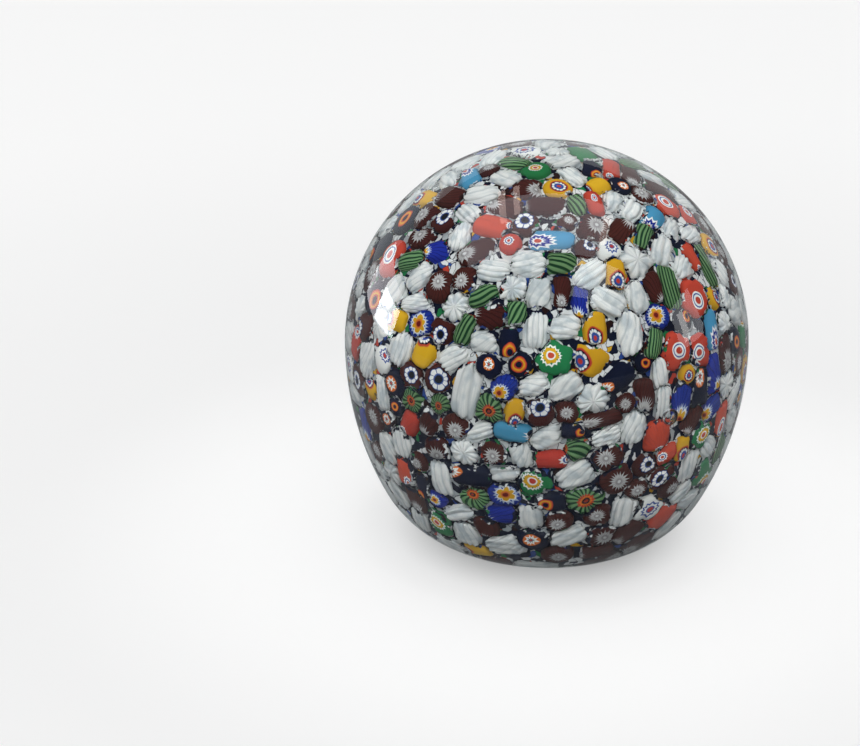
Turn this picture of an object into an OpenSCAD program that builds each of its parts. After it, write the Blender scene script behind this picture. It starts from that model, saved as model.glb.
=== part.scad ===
/* [Body] */
// Widest diameter of the glass body, mm
body_w = 100; // [90:1:110]
// Height of the widest line above the flat base, mm
waist_h = 50.8; // [48:0.2:53]
// Radius of the long arc down the lower side, mm
side_r = 80; // [76:1:90]
// Radius of the turned-in foot, mm
foot_r = 26; // [24:1:28]
// Clear glass over the canes, mm
casing_t = 4; // [4:0.5:5]
// Depth of the layer that the canes lie in, mm
layer_t = 9; // [9:0.5:10]
// Radius of the core's flat end in the base, mm
core_neck_r = 12; // [10:1:14]

/* [Air bubble] */
// Diameter of the bubble caught in the clear glass, mm
bubble_d = 3.6; // [2:0.2:3.6]
// Its angle round the body from the front, degrees
bubble_lon = 37; // [0:1:90]
// Its angle down from the crown, degrees
bubble_phi = 92; // [60:1:110]

/* [Canes] */
// Number of places offered to the scattered canes
scatter_n = 600; // [400:20:700]
// Smallest cane that is kept, as a diameter, mm
cane_min_d = 2.2; // [2:0.2:3]
// How far the canes were drawn down from their cut size before they were set
draw_down = 1; // [0.8:0.02:1]
// Clear glass left between neighbouring canes, mm
cane_gap = 0.12; // [0.1:0.02:0.3]
// Share of the scattered canes that are white
white_share = 0.46; // [0.3:0.02:0.6]
// Share of the scattered canes that are brown with a star
brown_share = 0.26; // [0.1:0.02:0.36]

/* [Hidden] */
$fn = 48;
r_crown = body_w / 2;
side_x = r_crown - side_r;
foot_x = side_x + sqrt(pow(side_r - foot_r, 2) - pow(waist_h - foot_r, 2));
side_end = 90 + atan2(waist_h - foot_r, foot_x - side_x);
top_gap = 0.2;
seat_gap = 0.3;
cane_t = casing_t + top_gap;
mid_t = casing_t + layer_t / 2;

// Colours of the glass, by what it does
CLEAR = [0.86, 0.90, 0.90, 0.35];
WHITE_GLASS = [0.90, 0.91, 0.90];
BROWN_GLASS = [0.22, 0.13, 0.13];
RED_GLASS = [0.72, 0.20, 0.15];
GREEN_GLASS = [0.13, 0.40, 0.22];
YELLOW_GLASS = [0.88, 0.62, 0.12];
TURQUOISE_GLASS = [0.35, 0.62, 0.75];
COBALT_GLASS = [0.12, 0.22, 0.58];
NAVY_GLASS = [0.06, 0.08, 0.16];
ORANGE_GLASS = [0.90, 0.42, 0.12];

// Kinds of cane
WHITE = 0;
BROWN = 1;
RING = 2;
TARGET = 3;
GFLOWER = 4;
GRIB = 5;
YELLOW = 6;
TURQ = 7;
COBALT = 8;
BULL = 9;
NAVY = 10;
WFLOWER = 11;
RED = 12;

// Lean from the surface's normal: a standing cane shows its end, a lying one its side.
STAND = 0;
LIE = 90;

// Canes set by hand: kind, angle round the body from the front, angle down from the crown,
// lean, turn (0 towards the crown, 90 towards the right), diameter, length.
placed = [
  // round the crown
  [WFLOWER, -120, 8, STAND, 0, 7, 6.5],
  [WHITE, -100, 18, LIE, 90, 6, 9],
  [GRIB, -75, 11, LIE, 60, 5, 7],
  [GFLOWER, 95, 9, LIE, 90, 5.6, 8],
  [GFLOWER, -20, 9, STAND, 0, 6, 6.5],
  [TURQ, -75, 25, LIE, 90, 5, 8],
  [WHITE, -45, 17, LIE, 80, 6, 8],
  [BROWN, -15, 21, 20, 90, 7.6, 6.5],
  [WHITE, 35, 15, LIE, 0, 6.4, 8],
  [YELLOW, 10, 22, STAND, 0, 6.8, 6.5],
  [GRIB, 23, 23, LIE, 0, 5.2, 7],
  [RED, 34, 24, LIE, 10, 3.6, 7],
  [YELLOW, 46, 20, LIE, 90, 5, 6],
  [BULL, 62, 16, LIE, 60, 5, 7],
  [RED, 77, 19, LIE, 80, 4.6, 9],
  [BROWN, 92, 26, LIE, 80, 5.6, 8],
  [NAVY, 57, 23, STAND, 0, 5, 6.5],
  [BROWN, 62, 29, STAND, 0, 5.6, 6.5],
  [WHITE, 41, 27, LIE, 70, 5.6, 7],
  [WHITE, 48, 33, LIE, 60, 5.6, 7.5],
  [TARGET, 72, 36, STAND, 0, 7.2, 6.5],
  [TURQ, 57, 38, LIE, 70, 6, 8],
  [BROWN, -62, 18, STAND, 0, 5.4, 6.5],
  [BROWN, -66, 31, LIE, 70, 5.4, 8],
  [YELLOW, -80, 38, LIE, 70, 5, 8],
  [WHITE, -50, 29, LIE, 70, 6.6, 9],
  // upper left
  [BROWN, -66, 38, STAND, 0, 6.6, 6.5],
  [WHITE, -45, 35, LIE, 100, 5.6, 7],
  [RING, -55, 36, STAND, 0, 5.6, 6.5],
  [RED, -30, 37, LIE, 90, 5, 9],
  [RING, -11, 30, STAND, 0, 6.6, 6.5],
  [BROWN, -26, 25, LIE, 100, 6, 8],
  [RED, -17, 36, STAND, 0, 4.6, 6.5],
  [BROWN, -60, 47, 15, 0, 6.4, 6.5],
  [BULL, -80, 46, STAND, 0, 5.6, 6.5],
  [TARGET, -68, 57, STAND, 0, 8.4, 6.5],
  [COBALT, -46, 49, LIE, 60, 5.6, 7],
  [WHITE, -40, 42, LIE, 0, 5, 7],
  [BROWN, -27, 45, LIE, 45, 6.4, 10],
  [WHITE, -51, 57, LIE, 20, 6.4, 8],
  [GRIB, -58, 54, LIE, 60, 3.8, 7],
  [WHITE, -20, 47, LIE, 80, 6.2, 8],
  [WHITE, -7, 46, LIE, 95, 6.2, 8],
  [BROWN, -32, 53, STAND, 0, 5.2, 6.5],
  [GRIB, -21, 58, LIE, 60, 4.8, 7],
  [WHITE, -14, 54, STAND, 0, 6.4, 6.5],
  [BROWN, -39, 59, STAND, 0, 7.2, 6.5],
  [WHITE, -55, 65, LIE, 20, 6.6, 8],
  [WHITE, -45, 65, LIE, 60, 4.8, 8],
  [WHITE, -29, 61, STAND, 0, 6, 6.5],
  [BROWN, -19, 64, LIE, 80, 5.4, 7],
  [GRIB, -11, 62, LIE, 0, 4.4, 6],
  [GRIB, -25, 69, LIE, 10, 4.4, 7],
  [YELLOW, -52, 71, LIE, 90, 5, 6],
  [COBALT, -40, 70, STAND, 0, 6.2, 6.5],
  // upper right
  [BROWN, 1, 27, LIE, 90, 6.2, 9],
  [BROWN, 11, 29, STAND, 0, 4.8, 6.5],
  [BROWN, 20, 34, 15, 90, 6.6, 6.5],
  [BROWN, 32, 36, LIE, 60, 6, 8],
  [TURQ, -3, 38, LIE, 90, 5.6, 10],
  [RING, 17, 42, 40, 60, 4.8, 6],
  [GRIB, 7, 43, LIE, 90, 6.2, 7],
  [WFLOWER, 25, 45, 30, 60, 4.6, 6],
  [YELLOW, 29, 52, LIE, 10, 5, 7.5],
  [WHITE, 37, 45, STAND, 0, 7.4, 6.5],
  [WHITE, 18, 49, LIE, 60, 6, 8.5],
  [WHITE, 21, 57, LIE, 120, 6, 8],
  [COBALT, 10, 55, LIE, 0, 4.6, 7],
  [BROWN, 5, 52, LIE, 0, 4, 7],
  [WHITE, 6, 62, LIE, 80, 5.6, 7],
  [WHITE, -1, 55, LIE, 0, 6.6, 8],
  [WHITE, -3, 65, LIE, 0, 5.8, 8],
  [YELLOW, 15, 64, LIE, 0, 4.6, 7],
  [YELLOW, 13, 75, 55, 270, 8.2, 8.4],
  [GFLOWER, 3, 72, STAND, 0, 8, 6.5],
  [WHITE, 27, 68, LIE, 0, 5.4, 9],
  [WHITE, 31, 57, LIE, 0, 6.2, 8],
  [COBALT, 36, 65, STAND, 0, 6.4, 6.5],
  [BULL, 44, 65, 40, 90, 4.8, 6.5],
  [GRIB, 46, 57, LIE, 10, 4.8, 10],
  [BROWN, 41, 59, LIE, 0, 4.4, 7],
  [TARGET, 57, 60, STAND, 0, 8.2, 6.5],
  [YELLOW, 65, 63, 30, 60, 5.6, 6],
  [GRIB, 68, 54, LIE, 10, 5, 12],
  [RED, 62, 53, LIE, 0, 3.4, 6],
  [WHITE, 55, 46, LIE, 50, 6, 8],
  [GRIB, 50, 43, LIE, 50, 4, 7],
  [WHITE, 64, 42, LIE, 60, 5.6, 8],
  [WHITE, 58, 52, LIE, 80, 5.6, 7],
  [TURQ, 60, 72, LIE, 10, 5, 9],
  // right of the middle
  [TARGET, 41, 76, STAND, 0, 8, 6.5],
  [TARGET, 50, 77, STAND, 0, 7.6, 6.5],
  [YELLOW, 45, 84, STAND, 0, 3.8, 6.5],
  [COBALT, 42, 89, LIE, 10, 5, 8],
  [COBALT, 57, 87, LIE, 0, 5.2, 9],
  [NAVY, 51, 89, LIE, 0, 4.6, 8],
  [WHITE, 36, 86, LIE, 0, 4.6, 8],
  [NAVY, 23, 79, LIE, 60, 6.6, 9],
  [BULL, 29, 76, STAND, 0, 4.8, 6.5],
  [GRIB, 35, 73, LIE, 20, 4.6, 7],
  [WHITE, 35, 79, LIE, 0, 4.4, 7],
  [BROWN, 28, 85, LIE, 0, 5, 7],
  [BROWN, 24, 88, STAND, 0, 4.6, 6.5],
  [BROWN, 19, 91, LIE, 80, 4, 9],
  [WHITE, 14, 85, STAND, 0, 7, 6.5],
  [WHITE, 4, 82, LIE, 70, 6, 8],
  [RING, 0, 88, STAND, 0, 6, 6.5],
  [BROWN, 6, 88, STAND, 0, 5, 6.5],
  [BULL, 8, 93, LIE, 90, 4, 5],
  [GRIB, 11, 96, 60, 270, 6.4, 7],
  [WHITE, 17, 92, LIE, 80, 5.4, 7],
  [WHITE, 26, 93, LIE, 0, 6.4, 8],
  [RED, 34, 96, LIE, 0, 6.4, 8],
  [RED, 39, 100, LIE, 80, 5, 6],
  [YELLOW, 44, 100, LIE, 0, 4, 6],
  [GFLOWER, 52, 99, STAND, 0, 7, 6.5],
  [BROWN, 49, 95, LIE, 40, 4.6, 6],
  [TARGET, 65, 97, LIE, 0, 4.8, 8],
  [BULL, 72, 83, STAND, 0, 5, 6.5],
  [BROWN, 64, 81, LIE, 0, 5, 8],
  // left of the middle
  [YELLOW, -37, 76, LIE, 10, 6.4, 7],
  [RING, -33, 72, STAND, 0, 5.8, 6.5],
  [WHITE, -19, 68, LIE, 90, 5.8, 7],
  [BULL, -11, 69, LIE, 0, 5, 7],
  [BULL, -10, 76, STAND, 0, 5.4, 6.5],
  [WHITE, -24, 84, LIE, 10, 6.4, 12],
  [WHITE, -27, 75, LIE, 40, 5.4, 7],
  [NAVY, -16, 77, STAND, 0, 5.6, 6.5],
  [COBALT, -10, 83, STAND, 0, 6.6, 6.5],
  [YELLOW, -11, 90, LIE, 10, 4.4, 6],
  [GRIB, -18, 87, STAND, 0, 6.6, 6.5],
  [WHITE, -4, 81, LIE, 60, 5.4, 7],
  [TURQ, -8, 93, LIE, 100, 4.8, 8],
  [WHITE, -1, 94, LIE, 60, 5.8, 7],
  [BROWN, -13, 98, STAND, 0, 6, 6.5],
  [WHITE, -24, 98, STAND, 0, 6.6, 6.5],
  [WHITE, -19, 95, LIE, 60, 5, 7],
  [BROWN, -27, 93, 15, 90, 5.8, 6.5],
  [BROWN, -32, 97, STAND, 0, 6.2, 6.5],
  [NAVY, -22, 103, LIE, 85, 6.6, 10],
  [WHITE, -13, 101, LIE, 80, 4.8, 7],
  [WHITE, -32, 106, LIE, 0, 6.6, 10],
  [COBALT, -12, 106, STAND, 0, 5.8, 6.5],
  [COBALT, -12, 111, LIE, 80, 5.6, 7],
  [GRIB, -21, 110, 30, 0, 7, 7],
  [WHITE, -5, 110, LIE, 0, 5.6, 7],
  [BROWN, -19, 116, LIE, 0, 5, 6],
  [GFLOWER, -40, 118, STAND, 0, 7.4, 6.5],
  [BROWN, -47, 113, LIE, 0, 4.8, 7],
  [WHITE, -30, 118, LIE, 10, 5.8, 8],
  [YELLOW, -27, 137, LIE, 80, 4.4, 6],
  [RED, -48, 107, LIE, 10, 5.4, 9],
  [BULL, -43, 109, LIE, 10, 3.4, 7],
  [BROWN, -41, 103, STAND, 0, 5.2, 6.5],
  [WHITE, -46, 101, LIE, 0, 5.8, 8],
  [BROWN, -61, 106, STAND, 0, 5.2, 6.5],
  [WHITE, -55, 104, LIE, 0, 5.6, 8],
  [BROWN, -61, 99, STAND, 0, 5.6, 6.5],
  [YELLOW, -60, 93, 40, 20, 5.4, 7],
  [COBALT, -69, 101, LIE, 0, 4.8, 8],
  [NAVY, -47, 89, STAND, 0, 5.2, 6.5],
  [BULL, -48, 94, STAND, 0, 5, 6.5],
  [RED, -42, 95, LIE, 30, 4.8, 7],
  [NAVY, -50, 97, STAND, 0, 4.6, 6.5],
  [GRIB, -41, 90, STAND, 0, 5.2, 6.5],
  [GRIB, -31, 89, STAND, 0, 5, 6.5],
  [RING, -44, 85, STAND, 0, 5.8, 6.5],
  [RING, -34, 82, 20, 60, 7, 6.5],
  [WHITE, -54, 92, LIE, 0, 5, 8],
  [WFLOWER, -53, 85, 40, 20, 5.4, 6.5],
  [WHITE, -48, 78, LIE, 20, 6.6, 8],
  [WFLOWER, -76, 93, STAND, 0, 6.2, 6.5],
  [RED, -73, 84, LIE, 20, 5, 7],
  [WHITE, -66, 86, LIE, 0, 5.8, 8],
  // lower middle
  [RED, 1, 98, LIE, 90, 4.6, 7],
  [BROWN, 18, 98, STAND, 0, 6, 6.5],
  [BROWN, 24, 103, STAND, 0, 6.4, 6.5],
  [WHITE, 10, 102, LIE, 70, 7.2, 8],
  [GFLOWER, -3, 103, STAND, 0, 8.2, 6.5],
  [BULL, -1, 108, LIE, 90, 5.6, 7],
  [GRIB, 14, 107, STAND, 0, 7.6, 6.5],
  [BROWN, 22, 110, STAND, 0, 5.6, 6.5],
  [WHITE, 26, 111, LIE, 0, 6.2, 9],
  [RING, 32, 102, 40, 40, 5, 6.5],
  [RING, 38, 105, STAND, 0, 6, 6.5],
  [BROWN, 43, 109, STAND, 0, 5.6, 6.5],
  [BROWN, 30, 107, STAND, 0, 5, 6.5],
  [WFLOWER, 36, 111, STAND, 0, 6.6, 6.5],
  [WHITE, 50, 106, LIE, 0, 5.6, 8],
  [BROWN, 4, 112, STAND, 0, 6.2, 6.5],
  [NAVY, -3, 118, STAND, 0, 6, 6.5],
  [WHITE, 11, 118, LIE, 70, 5.8, 8],
  [BROWN, 19, 118, STAND, 0, 6.2, 6.5],
  [BROWN, 31, 118, LIE, 40, 5.2, 7],
  [WHITE, -14, 121, LIE, 80, 6, 8],
  [BROWN, 7, 131, STAND, 0, 5.6, 6.5],
  [BROWN, 22, 129, LIE, 80, 5, 7]
];

// A place on the body: angle round, angle down from the crown along the profile, depth
function profile(phi, t) =
  phi <= 90 ? [(r_crown - t) * sin(phi), waist_h + (r_crown - t) * cos(phi)]
  : phi <= side_end ? [side_x + (side_r - t) * sin(phi), waist_h + (side_r - t) * cos(phi)]
  : [foot_x + (foot_r - t) * sin(phi), foot_r + (foot_r - t) * cos(phi)];
function place(lon, phi, t) =
  let(q = profile(phi, t)) [q[0] * sin(lon), -q[0] * cos(lon), q[1]];
function normal(lon, phi) = [sin(phi) * sin(lon), -sin(phi) * cos(lon), cos(phi)];
function upward(lon, phi) = [-cos(phi) * sin(lon), cos(phi) * cos(lon), sin(phi)];
function rightward(lon) = [cos(lon), sin(lon), 0];
function lon_of(p) = atan2(p[0], -p[1]);
function phi_of(p) =
  let(r = norm([p[0], p[1]]),
      a = atan2(r, p[2] - waist_h),
      b = atan2(r - side_x, p[2] - waist_h))
  a <= 90 ? a : b <= side_end ? b : atan2(max(r - foot_x, 0), p[2] - foot_r);

// A repeatable scatter value from 0 to 1
function chance(i, k) = let(v = sin(i * 127.1 + k * 311.7) * 43758.5453) v - floor(v);
function spread(i, k, lo, hi) = lo + (hi - lo) * chance(i, k);

// Kinds for the scattered canes, after white and brown have had their share
others = [RING, RING, TARGET, GFLOWER, GRIB, GRIB, YELLOW, YELLOW, TURQ, COBALT, COBALT,
          BULL, BULL, NAVY, NAVY, WFLOWER, RED];
function kind_of(i) =
  let(c = chance(i, 1))
  c < white_share ? WHITE
  : c < white_share + brown_share ? BROWN
  : others[floor(chance(i, 2) * len(others))];
function stands(kind, i) =
  chance(i, 3) < (kind == WHITE ? 0.25 : kind == RED ? 0 : 0.55);

turn_step = 180 * (3 - sqrt(5));
seat = r_crown - mid_t;
scattered = [
  for (i = [0:scatter_n - 1])
    let(h = 1 - 2 * (i + 0.5) / scatter_n,
        r = seat * sqrt(1 - h * h),
        a = i * turn_step,
        p = [r * sin(a), -r * cos(a), waist_h + seat * h],
        phi = phi_of(p),
        kind = kind_of(i),
        up = stands(kind, i))
    if (phi < 172)
      [kind, lon_of(p), phi,
       up ? spread(i, 4, 0, 20) : LIE,
       spread(i, 5, 0, 360),
       spread(i, 6, 4.6, 6.6),
       up ? 6.5 : spread(i, 7, 6.5, 9)]
];

// One cane as numbers: kind, centre, axis, half length between its domed ends, radius,
// angles, hand-set or not
function seated(c, lon, phi, by_hand) =
  let(n = normal(lon, phi),
      side = cos(c[4]) * upward(lon, phi) + sin(c[4]) * rightward(lon),
      axis = cos(c[3]) * n + sin(c[3]) * side,
      rad = min(c[5] / 2 * draw_down, layer_t / 2 - seat_gap),
      half = max(c[6] / 2 - rad, 0.05),
      rise = half * cos(c[3]) + rad,
      sag = pow(half * sin(c[3]), 2) / (2 * seat))
  [c[0], place(lon, phi, cane_t + rise + sag), axis, half, rad, lon, phi, by_hand, c];

hand_set = [for (c = placed) seated(c, c[1], c[2], true)];
loose = [
  for (c = scattered)
    let(s = seated(c, c[1], c[2], false),
        near = [for (h = hand_set) if (norm(h[1] - s[1]) < 0.8 * (h[4] + s[4])) 1])
    if (len(near) == 0) s
];

// Distance between the axes of two canes
function clamp(v, h) = max(-h, min(h, v));
function axis_gap(a, b) =
  let(d = a[1] - b[1],
      k = a[2] * b[2],
      u = a[2] * d,
      v = b[2] * d,
      w = max(1 - k * k, 0.001),
      s0 = clamp((k * v - u) / w, a[3]),
      t = clamp(k * s0 + v, b[3]),
      s = clamp(k * t - u, a[3]))
  d + s * a[2] - t * b[2];

function sum(v) = [for (i = [0:len(v)]) 1] * concat([[0, 0, 0]], v);

// Neighbouring canes are eased apart; the scattered ones give way more than the hand-set ones
reach = 15;
ease = 0.45;
ease_steps = 10;
most_swell = 1.35;
function near_lists(all) = [
  for (i = [0:len(all) - 1])
    let(p = all[i][1])
    [for (j = [0:len(all) - 1]) if (j != i && norm(all[j][1] - p) < reach) j]
];
function eased(all, near) = [
  for (i = [0:len(all) - 1])
    let(a = all[i],
        pushes = [
          for (j = near[i])
            let(g = axis_gap(a, all[j]),
                d = norm(g),
                over = a[4] + all[j][4] + cane_gap - d)
            if (over > 0 && d > 0.01) g * (over / d)
        ],
        p = a[1] + ease * (a[7] ? 0.6 : 1) * sum(pushes))
    seated(a[8], lon_of(p), min(phi_of(p), 172), a[7])
];
function settle(all, near, n) = n == 0 ? all : settle(eased(all, near), near, n - 1);

// The radius that a cane's neighbours leave it
function room(a, all, near) = min([
  for (j = near)
    let(b = all[j]) (norm(axis_gap(a, b)) - cane_gap) * a[4] / (a[4] + b[4])
]);
// A softened cane spreads into the room beside it
function swollen(all, near) = [
  for (i = [0:len(all) - 1])
    let(a = all[i],
        c = a[8],
        more = max(1, min(most_swell, 1.1 * room(a, all, near[i]) / a[4])))
    seated([c[0], c[1], c[2], c[3], c[4], c[5] * more, c[6] * sqrt(more)], a[5], a[6], a[7])
];

start = concat(hand_set, loose);
near = near_lists(start);
packed = settle(start, near, ease_steps);
spread_out = settle(swollen(packed, near), near, ease_steps);
final_near = near_lists(spread_out);
canes = [
  for (i = [0:len(spread_out) - 1])
    let(a = spread_out[i],
        rad = min(a[4], room(a, spread_out, final_near[i])))
    if (2 * rad >= cane_min_d) [a[0], a[1], a[2], a[3], rad]
];

// Round-ended rods and tubes along a cane's axis; in and out are shares of its radius
module along(c) {
  lean = acos(c[2][2]);
  turn = atan2(c[2][1], c[2][0]);
  translate(c[1]) rotate([0, lean, turn]) children();
}
module shells(kind, in, out) {
  for (c = canes)
    if (c[0] == kind)
      along(c)
        rotate_extrude()
          intersection() {
            union() {
              translate([0, c[3]]) circle(r = c[4]);
              translate([0, -c[3]]) circle(r = c[4]);
              translate([0, -c[3]]) square([c[4], 2 * c[3]]);
            }
            translate([in * c[4], -2 * seat])
              square([(out - in) * c[4] + (out == 1 ? c[4] : 0), 4 * seat]);
          }
}

// Half profile of the body at a depth below its surface, down to the foot's own floor.
// The foot's centre lies on the line from the side arc's centre where the two arcs meet.
module half_profile(t) {
  intersection() {
    union() {
      intersection() {
        translate([0, waist_h]) circle(r = r_crown - t);
        translate([0, waist_h]) square([body_w, body_w]);
      }
      intersection() {
        translate([side_x, waist_h]) circle(r = side_r - t);
        polygon([[side_x, waist_h],
                 [side_x + 2 * side_r * sin(side_end), waist_h + 2 * side_r * cos(side_end)],
                 [body_w, waist_h]]);
      }
      translate([foot_x, foot_r]) circle(r = foot_r - t);
      square([foot_x, waist_h]);
    }
    translate([0, t]) square([body_w, 2 * body_w]);
  }
}

module glass_core() {
  color(CLEAR)
    rotate_extrude()
      union() {
        half_profile(casing_t + layer_t);
        square([core_neck_r, waist_h]);
      }
}
module glass_casing() {
  color(CLEAR)
    difference() {
      rotate_extrude()
        difference() {
          half_profile(0);
          half_profile(casing_t);
          square([core_neck_r, waist_h]);
        }
      translate(place(bubble_lon, bubble_phi, casing_t / 2)) sphere(d = bubble_d);
    }
}
module white_ribbed_canes() {
  color(WHITE_GLASS) shells(WHITE, 0, 1);
}
module brown_star_cane_walls() {
  color(BROWN_GLASS) shells(BROWN, 0.5, 1);
}
module brown_star_cane_hearts() {
  color(WHITE_GLASS) shells(BROWN, 0, 0.5);
}
module brown_ring_cane_walls() {
  color(BROWN_GLASS) shells(RING, 0.64, 1);
}
module brown_ring_cane_rings() {
  color(WHITE_GLASS) shells(RING, 0.36, 0.64);
}
module brown_ring_cane_hearts() {
  color(COBALT_GLASS) shells(RING, 0, 0.36);
}
module red_target_cane_walls() {
  color(RED_GLASS) shells(TARGET, 0.6, 1);
}
module red_target_cane_rings() {
  color(WHITE_GLASS) shells(TARGET, 0.34, 0.6);
}
module red_target_cane_hearts() {
  color(COBALT_GLASS) shells(TARGET, 0, 0.34);
}
module green_flower_cane_walls() {
  color(GREEN_GLASS) shells(GFLOWER, 0.5, 1);
}
module green_flower_cane_rings() {
  color(YELLOW_GLASS) shells(GFLOWER, 0.26, 0.5);
}
module green_flower_cane_hearts() {
  color(RED_GLASS) shells(GFLOWER, 0, 0.26);
}
module green_ribbed_cane_walls() {
  color(GREEN_GLASS) shells(GRIB, 0.3, 1);
}
module green_ribbed_cane_hearts() {
  color(ORANGE_GLASS) shells(GRIB, 0, 0.3);
}
module yellow_cane_walls() {
  color(YELLOW_GLASS) shells(YELLOW, 0.45, 1);
}
module yellow_cane_hearts() {
  color(RED_GLASS) shells(YELLOW, 0, 0.45);
}
module turquoise_cane_walls() {
  color(TURQUOISE_GLASS) shells(TURQ, 0.5, 1);
}
module turquoise_cane_hearts() {
  color(WHITE_GLASS) shells(TURQ, 0, 0.5);
}
module cobalt_cane_walls() {
  color(COBALT_GLASS) shells(COBALT, 0.45, 1);
}
module cobalt_cane_hearts() {
  color(YELLOW_GLASS) shells(COBALT, 0, 0.45);
}
module navy_bullseye_cane_walls() {
  color(NAVY_GLASS) shells(BULL, 0.55, 1);
}
module navy_bullseye_cane_rings() {
  color(RED_GLASS) shells(BULL, 0.3, 0.55);
}
module navy_bullseye_cane_hearts() {
  color(YELLOW_GLASS) shells(BULL, 0, 0.3);
}
module navy_star_cane_walls() {
  color(NAVY_GLASS) shells(NAVY, 0.4, 1);
}
module navy_star_cane_hearts() {
  color(WHITE_GLASS) shells(NAVY, 0, 0.4);
}
module white_flower_cane_walls() {
  color(WHITE_GLASS) shells(WFLOWER, 0.6, 1);
}
module white_flower_cane_rings() {
  color(COBALT_GLASS) shells(WFLOWER, 0.3, 0.6);
}
module white_flower_cane_hearts() {
  color(RED_GLASS) shells(WFLOWER, 0, 0.3);
}
module red_canes() {
  color(RED_GLASS) shells(RED, 0, 1);
}

glass_core();
glass_casing();
white_ribbed_canes();
brown_star_cane_walls();
brown_star_cane_hearts();
brown_ring_cane_walls();
brown_ring_cane_rings();
brown_ring_cane_hearts();
red_target_cane_walls();
red_target_cane_rings();
red_target_cane_hearts();
green_flower_cane_walls();
green_flower_cane_rings();
green_flower_cane_hearts();
green_ribbed_cane_walls();
green_ribbed_cane_hearts();
yellow_cane_walls();
yellow_cane_hearts();
turquoise_cane_walls();
turquoise_cane_hearts();
cobalt_cane_walls();
cobalt_cane_hearts();
navy_bullseye_cane_walls();
navy_bullseye_cane_rings();
navy_bullseye_cane_hearts();
navy_star_cane_walls();
navy_star_cane_hearts();
white_flower_cane_walls();
white_flower_cane_rings();
white_flower_cane_hearts();
red_canes();
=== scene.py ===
"""Millefiori paperweight: several hundred cut canes packed round a dark core under a clear glass dome."""

import math

import bmesh
import bpy
import numpy as np
from mathutils import Matrix, Vector, noise


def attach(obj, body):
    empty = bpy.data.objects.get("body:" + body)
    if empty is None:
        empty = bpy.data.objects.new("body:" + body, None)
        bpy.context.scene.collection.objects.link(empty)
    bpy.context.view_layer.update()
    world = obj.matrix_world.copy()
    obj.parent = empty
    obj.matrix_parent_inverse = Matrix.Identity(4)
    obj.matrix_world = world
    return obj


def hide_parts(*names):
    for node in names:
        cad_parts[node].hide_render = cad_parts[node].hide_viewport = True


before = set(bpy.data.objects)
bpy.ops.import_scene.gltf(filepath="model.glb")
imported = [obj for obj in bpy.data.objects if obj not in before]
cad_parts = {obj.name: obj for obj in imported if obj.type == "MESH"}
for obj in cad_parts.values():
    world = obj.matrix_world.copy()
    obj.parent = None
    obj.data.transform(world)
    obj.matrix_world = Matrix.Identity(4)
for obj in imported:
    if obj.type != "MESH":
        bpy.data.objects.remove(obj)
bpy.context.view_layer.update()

# ---------------------------------------------------------------- sizes, metres

CROWN_RADIUS = 0.0500
WAIST_HEIGHT = 0.0508
SIDE_RADIUS = 0.0800
FOOT_RADIUS = 0.0260
CASING_WALL = 0.0040
CORE_INSET = 0.0066
CORE_BASE = 0.0005
CORE_NECK = 0.0120
CORE_SHOULDER = (0.0046, 0.0130)

SIDE_CENTRE = CROWN_RADIUS - SIDE_RADIUS
FOOT_CENTRE = SIDE_CENTRE + math.sqrt((SIDE_RADIUS - FOOT_RADIUS) ** 2 - (WAIST_HEIGHT - FOOT_RADIUS) ** 2)
SIDE_END = math.pi / 2 + math.atan2(WAIST_HEIGHT - FOOT_RADIUS, FOOT_CENTRE - SIDE_CENTRE)

# ---------------------------------------------------------------- colours, linear

WHITE = (0.90, 0.91, 0.89)
MILK = (0.72, 0.76, 0.77)
SMOKY = (0.50, 0.57, 0.61)
# Painted shade: the next two darken the white canes' rib hollows, deepest where the hollows meet neighbouring
# canes
PAINTED_GROOVE_SHADE = (0.40, 0.45, 0.48)
PAINTED_NOTCH_SHADE = (0.10, 0.13, 0.14)
BROWN = (0.060, 0.013, 0.011)
DARK_BROWN = (0.022, 0.006, 0.006)
STAR_WHITE = (0.52, 0.53, 0.53)
STAR_SHADE = (0.20, 0.16, 0.17)
STAR_CENTRE = (0.20, 0.18, 0.19)
STAR_HEART = (0.66, 0.67, 0.67)
RED = (0.56, 0.060, 0.035)
DEEP_RED = (0.46, 0.050, 0.035)
OXBLOOD = (0.16, 0.010, 0.010)
ORANGE = (0.72, 0.17, 0.03)
GREEN = (0.018, 0.20, 0.065)
PALE_GREEN = (0.15, 0.30, 0.13)
DARK_GREEN = (0.010, 0.050, 0.022)
YELLOW = (0.72, 0.40, 0.018)
LIGHT_BLUE = (0.07, 0.31, 0.53)
PALE_BLUE = (0.50, 0.60, 0.78)
BLUE = (0.030, 0.080, 0.34)
COBALT = (0.012, 0.032, 0.30)
DEEP_COBALT = (0.006, 0.012, 0.10)
NAVY = (0.004, 0.007, 0.024)
DARK = (0.010, 0.010, 0.014)
CRUMB_WHITE = (0.80, 0.82, 0.82)
CRUMB_GREY = (0.44, 0.48, 0.50)

# ---------------------------------------------------------------- how the canes are drawn and pressed

WHITE_RIBS = 8.0
MORE_RIBS = 4.0
SWELL = 1.28
STRETCH = 1.14
RIB_WAVER = 0.16
RUFFLE = 0.06
RUFFLE_TURNS = 3.0
NEIGHBOURS = 14
# Length and height of the slow waves in the seams
SEAM_WAVES = ((0.0071, 0.00042), (0.0027, 0.00020))
# A cane leaning less than this, in radians, shows its cut end squarely
UPRIGHT_LEAN = 0.45
LEAST_SLANT = 0.05
# Height above the table, low and high, then what the seams are at each: their share of dark
# crumbs, and their breadth
DARK_CRUMBS = (0.012, 0.085, 0.62, 0.16)
SEAM_BREADTH = (0.010, 0.055, 1.5, 1.0)
SEAM_CRUMBS = 720.0
CORE_CRUMBS = 640.0
BUBBLE_SWELL = 1.2
BUBBLE_COVER = 0.00025
CASING_CLEARANCE = 0.00008
BUBBLE_CLEARANCE = 0.0001
HALF_GAP_MM = 500.0


# ---------------------------------------------------------------- node helpers

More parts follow.
